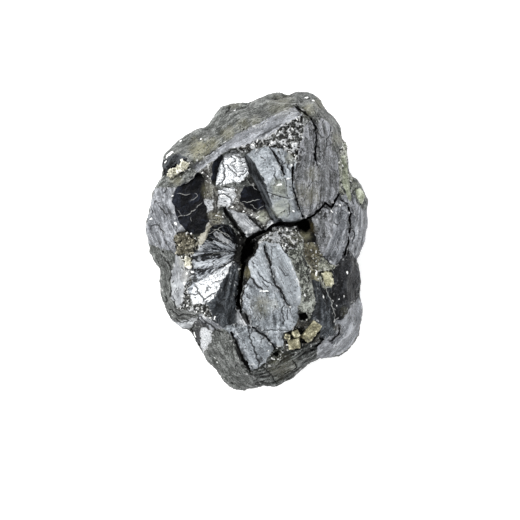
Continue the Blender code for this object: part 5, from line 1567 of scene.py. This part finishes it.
def share_setting(name, description, default, most, least=0.0):
    return bpy.props.FloatProperty(name=name, description=description, default=default, min=least, max=most)


def length_setting(name, description, default, most, least=0.0):
    return bpy.props.FloatProperty(name=name, description=description, default=default, min=least, max=most,
                                   precision=5, unit="LENGTH")


class OreStoneSettings(bpy.types.PropertyGroup):
    """Sizes and colours of the dressed stone."""
    fineness: share_setting("Fineness", "How finely the stone's surface is divided", 1.0, 1.2, 0.2)
    relief: share_setting("Relief", "Share of the drawn lumps, ridges and crumbs", 1.0, 2.0)
    crack_depth: share_setting("Crack depth", "Share of the drawn depth of the fine cracks", 1.0, 2.0)
    # also the colour of the painted shade in hollows, open cracks and cleavage steps
    hollow: colour_setting("Hollows", "Cracks, pits and hollows", (7, 7, 7))
    vein: colour_setting("Veins", "Thin pale veins on the dark faces", (168, 169, 166))
    fleck: colour_setting("Flecks", "White flecks and glints", (252, 253, 252))
    olive: colour_setting("Olive stain", "Thin olive film on the stone", (140, 137, 110))
    cream: colour_setting("Cream stain", "Pale film on the stone", (178, 182, 164))
    brown: colour_setting("Brown stain", "Rusty film round the pyrite", (78, 70, 46))


class OreCrystalSettings(bpy.types.PropertyGroup):
    """Sizes and colours of the crystals."""
    bevel: length_setting("Worn edge", "Width of a crystal's worn edge", 0.12 * MM, 0.4 * MM)
    wear: share_setting("Wear", "Share of the steps and chips on the crystals' faces", 1.0, 2.0)
    pyrite: colour_setting("Pyrite", "The larger pyrite crystals", CRYSTALS["pyrite"].middle)
    cluster: colour_setting("Pyrite cluster", "The small crystals grown together", CRYSTALS["cluster"].middle)
    cream: colour_setting("Cream crystals", "The palest crystals", CRYSTALS["cream"].middle)
    yellow: colour_setting("Yellow crystal", "The yellowish crystal", CRYSTALS["yellow"].middle)
    olive: colour_setting("Olive crystals", "The greenish ones at the right edge", CRYSTALS["olive"].middle)


class OreGrainSettings(bpy.types.PropertyGroup):
    """Sizes and colours of the loose-looking grains of the crumbled ledges."""
    amount: share_setting("Grains per square mm", "How thickly the crumbled faces are strewn", 2.2, 6.0)
    size: length_setting("Grain size", "Mean size of a grain", 0.48 * MM, MM, 0.1 * MM)
    seed: bpy.props.IntProperty(name="Seed", description="Which way the grains fall", default=3, min=0)
    dark: colour_setting("Dark grains", "The darkest grains", (16, 16, 15))
    bright: colour_setting("Bright grains", "The grains that shine", (246, 247, 246))


class OreStageSettings(bpy.types.PropertyGroup):
    """The floor, the light and the camera."""
    floor_side: length_setting("Floor", "Side of the pale floor", 8.0, 50.0, 0.2)
    floor_glow: share_setting("Floor glow", "How much the floor is lit, to soften the shadow", 0.4, 1.0)
    sky: share_setting("Sky", "Strength of the even light", 0.95, 10.0)
    key: share_setting("Key light", "Power of the main light", 4.0, 100.0)
    fill: share_setting("Fill light", "Power of the second light", 1.2, 100.0)
    view_width: length_setting("View width", "How wide the camera sees at the rim",
                               VIEW_SQUARES * SQUARE, 1.0, MM)
    distance: length_setting("Camera height", "Camera's height over the rim", 1.3, 10.0, 0.3)
    floor_colour: colour_setting("Floor colour", "The pale floor", (249, 249, 249))


class DressStone(bpy.types.Operator):
    """Dress the stone: faces, cracks, veins and stains"""
    bl_idname = "ore.dress_stone"
    bl_label = "Dress the stone"

    def execute(self, context):
        wanted = context.scene.ore_stone
        shades = {name: chosen(getattr(wanted, name)) for name in ("hollow", "vein", "fleck", *STAIN_KINDS)}
        finishes = {name: stone_finish(name, shades) for name in LOOKS}
        mesh = dressed_stone(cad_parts["ore_body"], wanted.fineness, wanted.relief, wanted.crack_depth,
                             finishes)
        add_piece("ore_body_dressed", mesh, "stone", "ore_body")
        return {"FINISHED"}


class DressCrystals(bpy.types.Operator):
    """Dress the crystals: worn edges, growth steps and their finishes"""
    bl_idname = "ore.dress_crystals"
    bl_label = "Dress the crystals"

    def execute(self, context):
        wanted = context.scene.ore_crystals
        for kind, crystal in CRYSTALS.items():
            material = crystal_finish("ore_" + kind, seen(crystal.dark), chosen(getattr(wanted, kind)),
                                      seen(crystal.pale), crystal.metallic, crystal.roughness)
            for name in crystal.nodes:
                mesh = crystal_mesh(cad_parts[name], wanted.bevel * crystal.rounded,
                                    wanted.wear * crystal.worn)
                mesh.materials.append(material)
                add_piece(name + "_dressed", mesh, crystal.slot, name)
        return {"FINISHED"}


class ScatterGrains(bpy.types.Operator):
    """Strew the crumbled ledges with broken grains"""
    bl_idname = "ore.scatter_grains"
    bl_label = "Strew the grains"

    def execute(self, context):
        wanted = context.scene.ore_grains
        stone = bpy.data.objects.get("ore_body_dressed")
        if stone is None:
            raise RuntimeError("dress the stone before its grains are strewn")
        finish = grain_finish(chosen(wanted.dark), chosen(wanted.bright))
        mesh = scattered_grains(stone, wanted.amount, wanted.size, wanted.seed, finish)
        add_piece("ore_grains", mesh, "stone")
        return {"FINISHED"}


class SetStage(bpy.types.Operator):
    """Put in the floor, the lights and the camera"""
    bl_idname = "ore.set_stage"
    bl_label = "Set the stage"

    def execute(self, context):
        wanted = context.scene.ore_stage
        mesh = floor_mesh(wanted.floor_side, wanted.floor_glow, chosen(wanted.floor_colour))
        put_in(bpy.data.objects.new("floor", mesh))
        set_sky(wanted.sky)
        add_light("key", wanted.key, KEY_PLACE, KEY_COLOUR)
        add_light("fill", wanted.fill, FILL_PLACE, FILL_COLOUR)
        add_camera(wanted.distance, wanted.view_width)
        context.scene.view_settings.view_transform = "Standard"
        return {"FINISHED"}


class OrePanel(bpy.types.Panel):
    """Lists the stone's pieces and their sizes"""
    bl_idname = "VIEW3D_PT_ore"
    bl_label = "Molybdenum ore"
    bl_space_type = "VIEW_3D"
    bl_region_type = "UI"
    bl_category = "Ore"

    def draw(self, context):
        for group, (kind, operator) in PARTS.items():
            box = self.layout.box()
            for name in kind.__annotations__:
                box.prop(getattr(context.scene, group), name)
            box.operator(operator)


PARTS = {
    "ore_stone": (OreStoneSettings, "ore.dress_stone"),
    "ore_crystals": (OreCrystalSettings, "ore.dress_crystals"),
    "ore_grains": (OreGrainSettings, "ore.scatter_grains"),
    "ore_stage": (OreStageSettings, "ore.set_stage"),
}
SETTINGS = (OreStoneSettings, OreCrystalSettings, OreGrainSettings, OreStageSettings)
CLASSES = (*SETTINGS, DressStone, DressCrystals, ScatterGrains, SetStage, OrePanel)


def register():
    for item in CLASSES:
        bpy.utils.register_class(item)
    for name, (kind, _) in PARTS.items():
        setattr(bpy.types.Scene, name, bpy.props.PointerProperty(type=kind))


def unregister():
    for name in PARTS:
        delattr(bpy.types.Scene, name)
    for item in reversed(CLASSES):
        bpy.utils.unregister_class(item)


def main():
    register()
    bpy.ops.ore.dress_stone()
    bpy.ops.ore.dress_crystals()
    bpy.ops.ore.scatter_grains()
    bpy.ops.ore.set_stage()


if __name__ == "__main__":
    main()
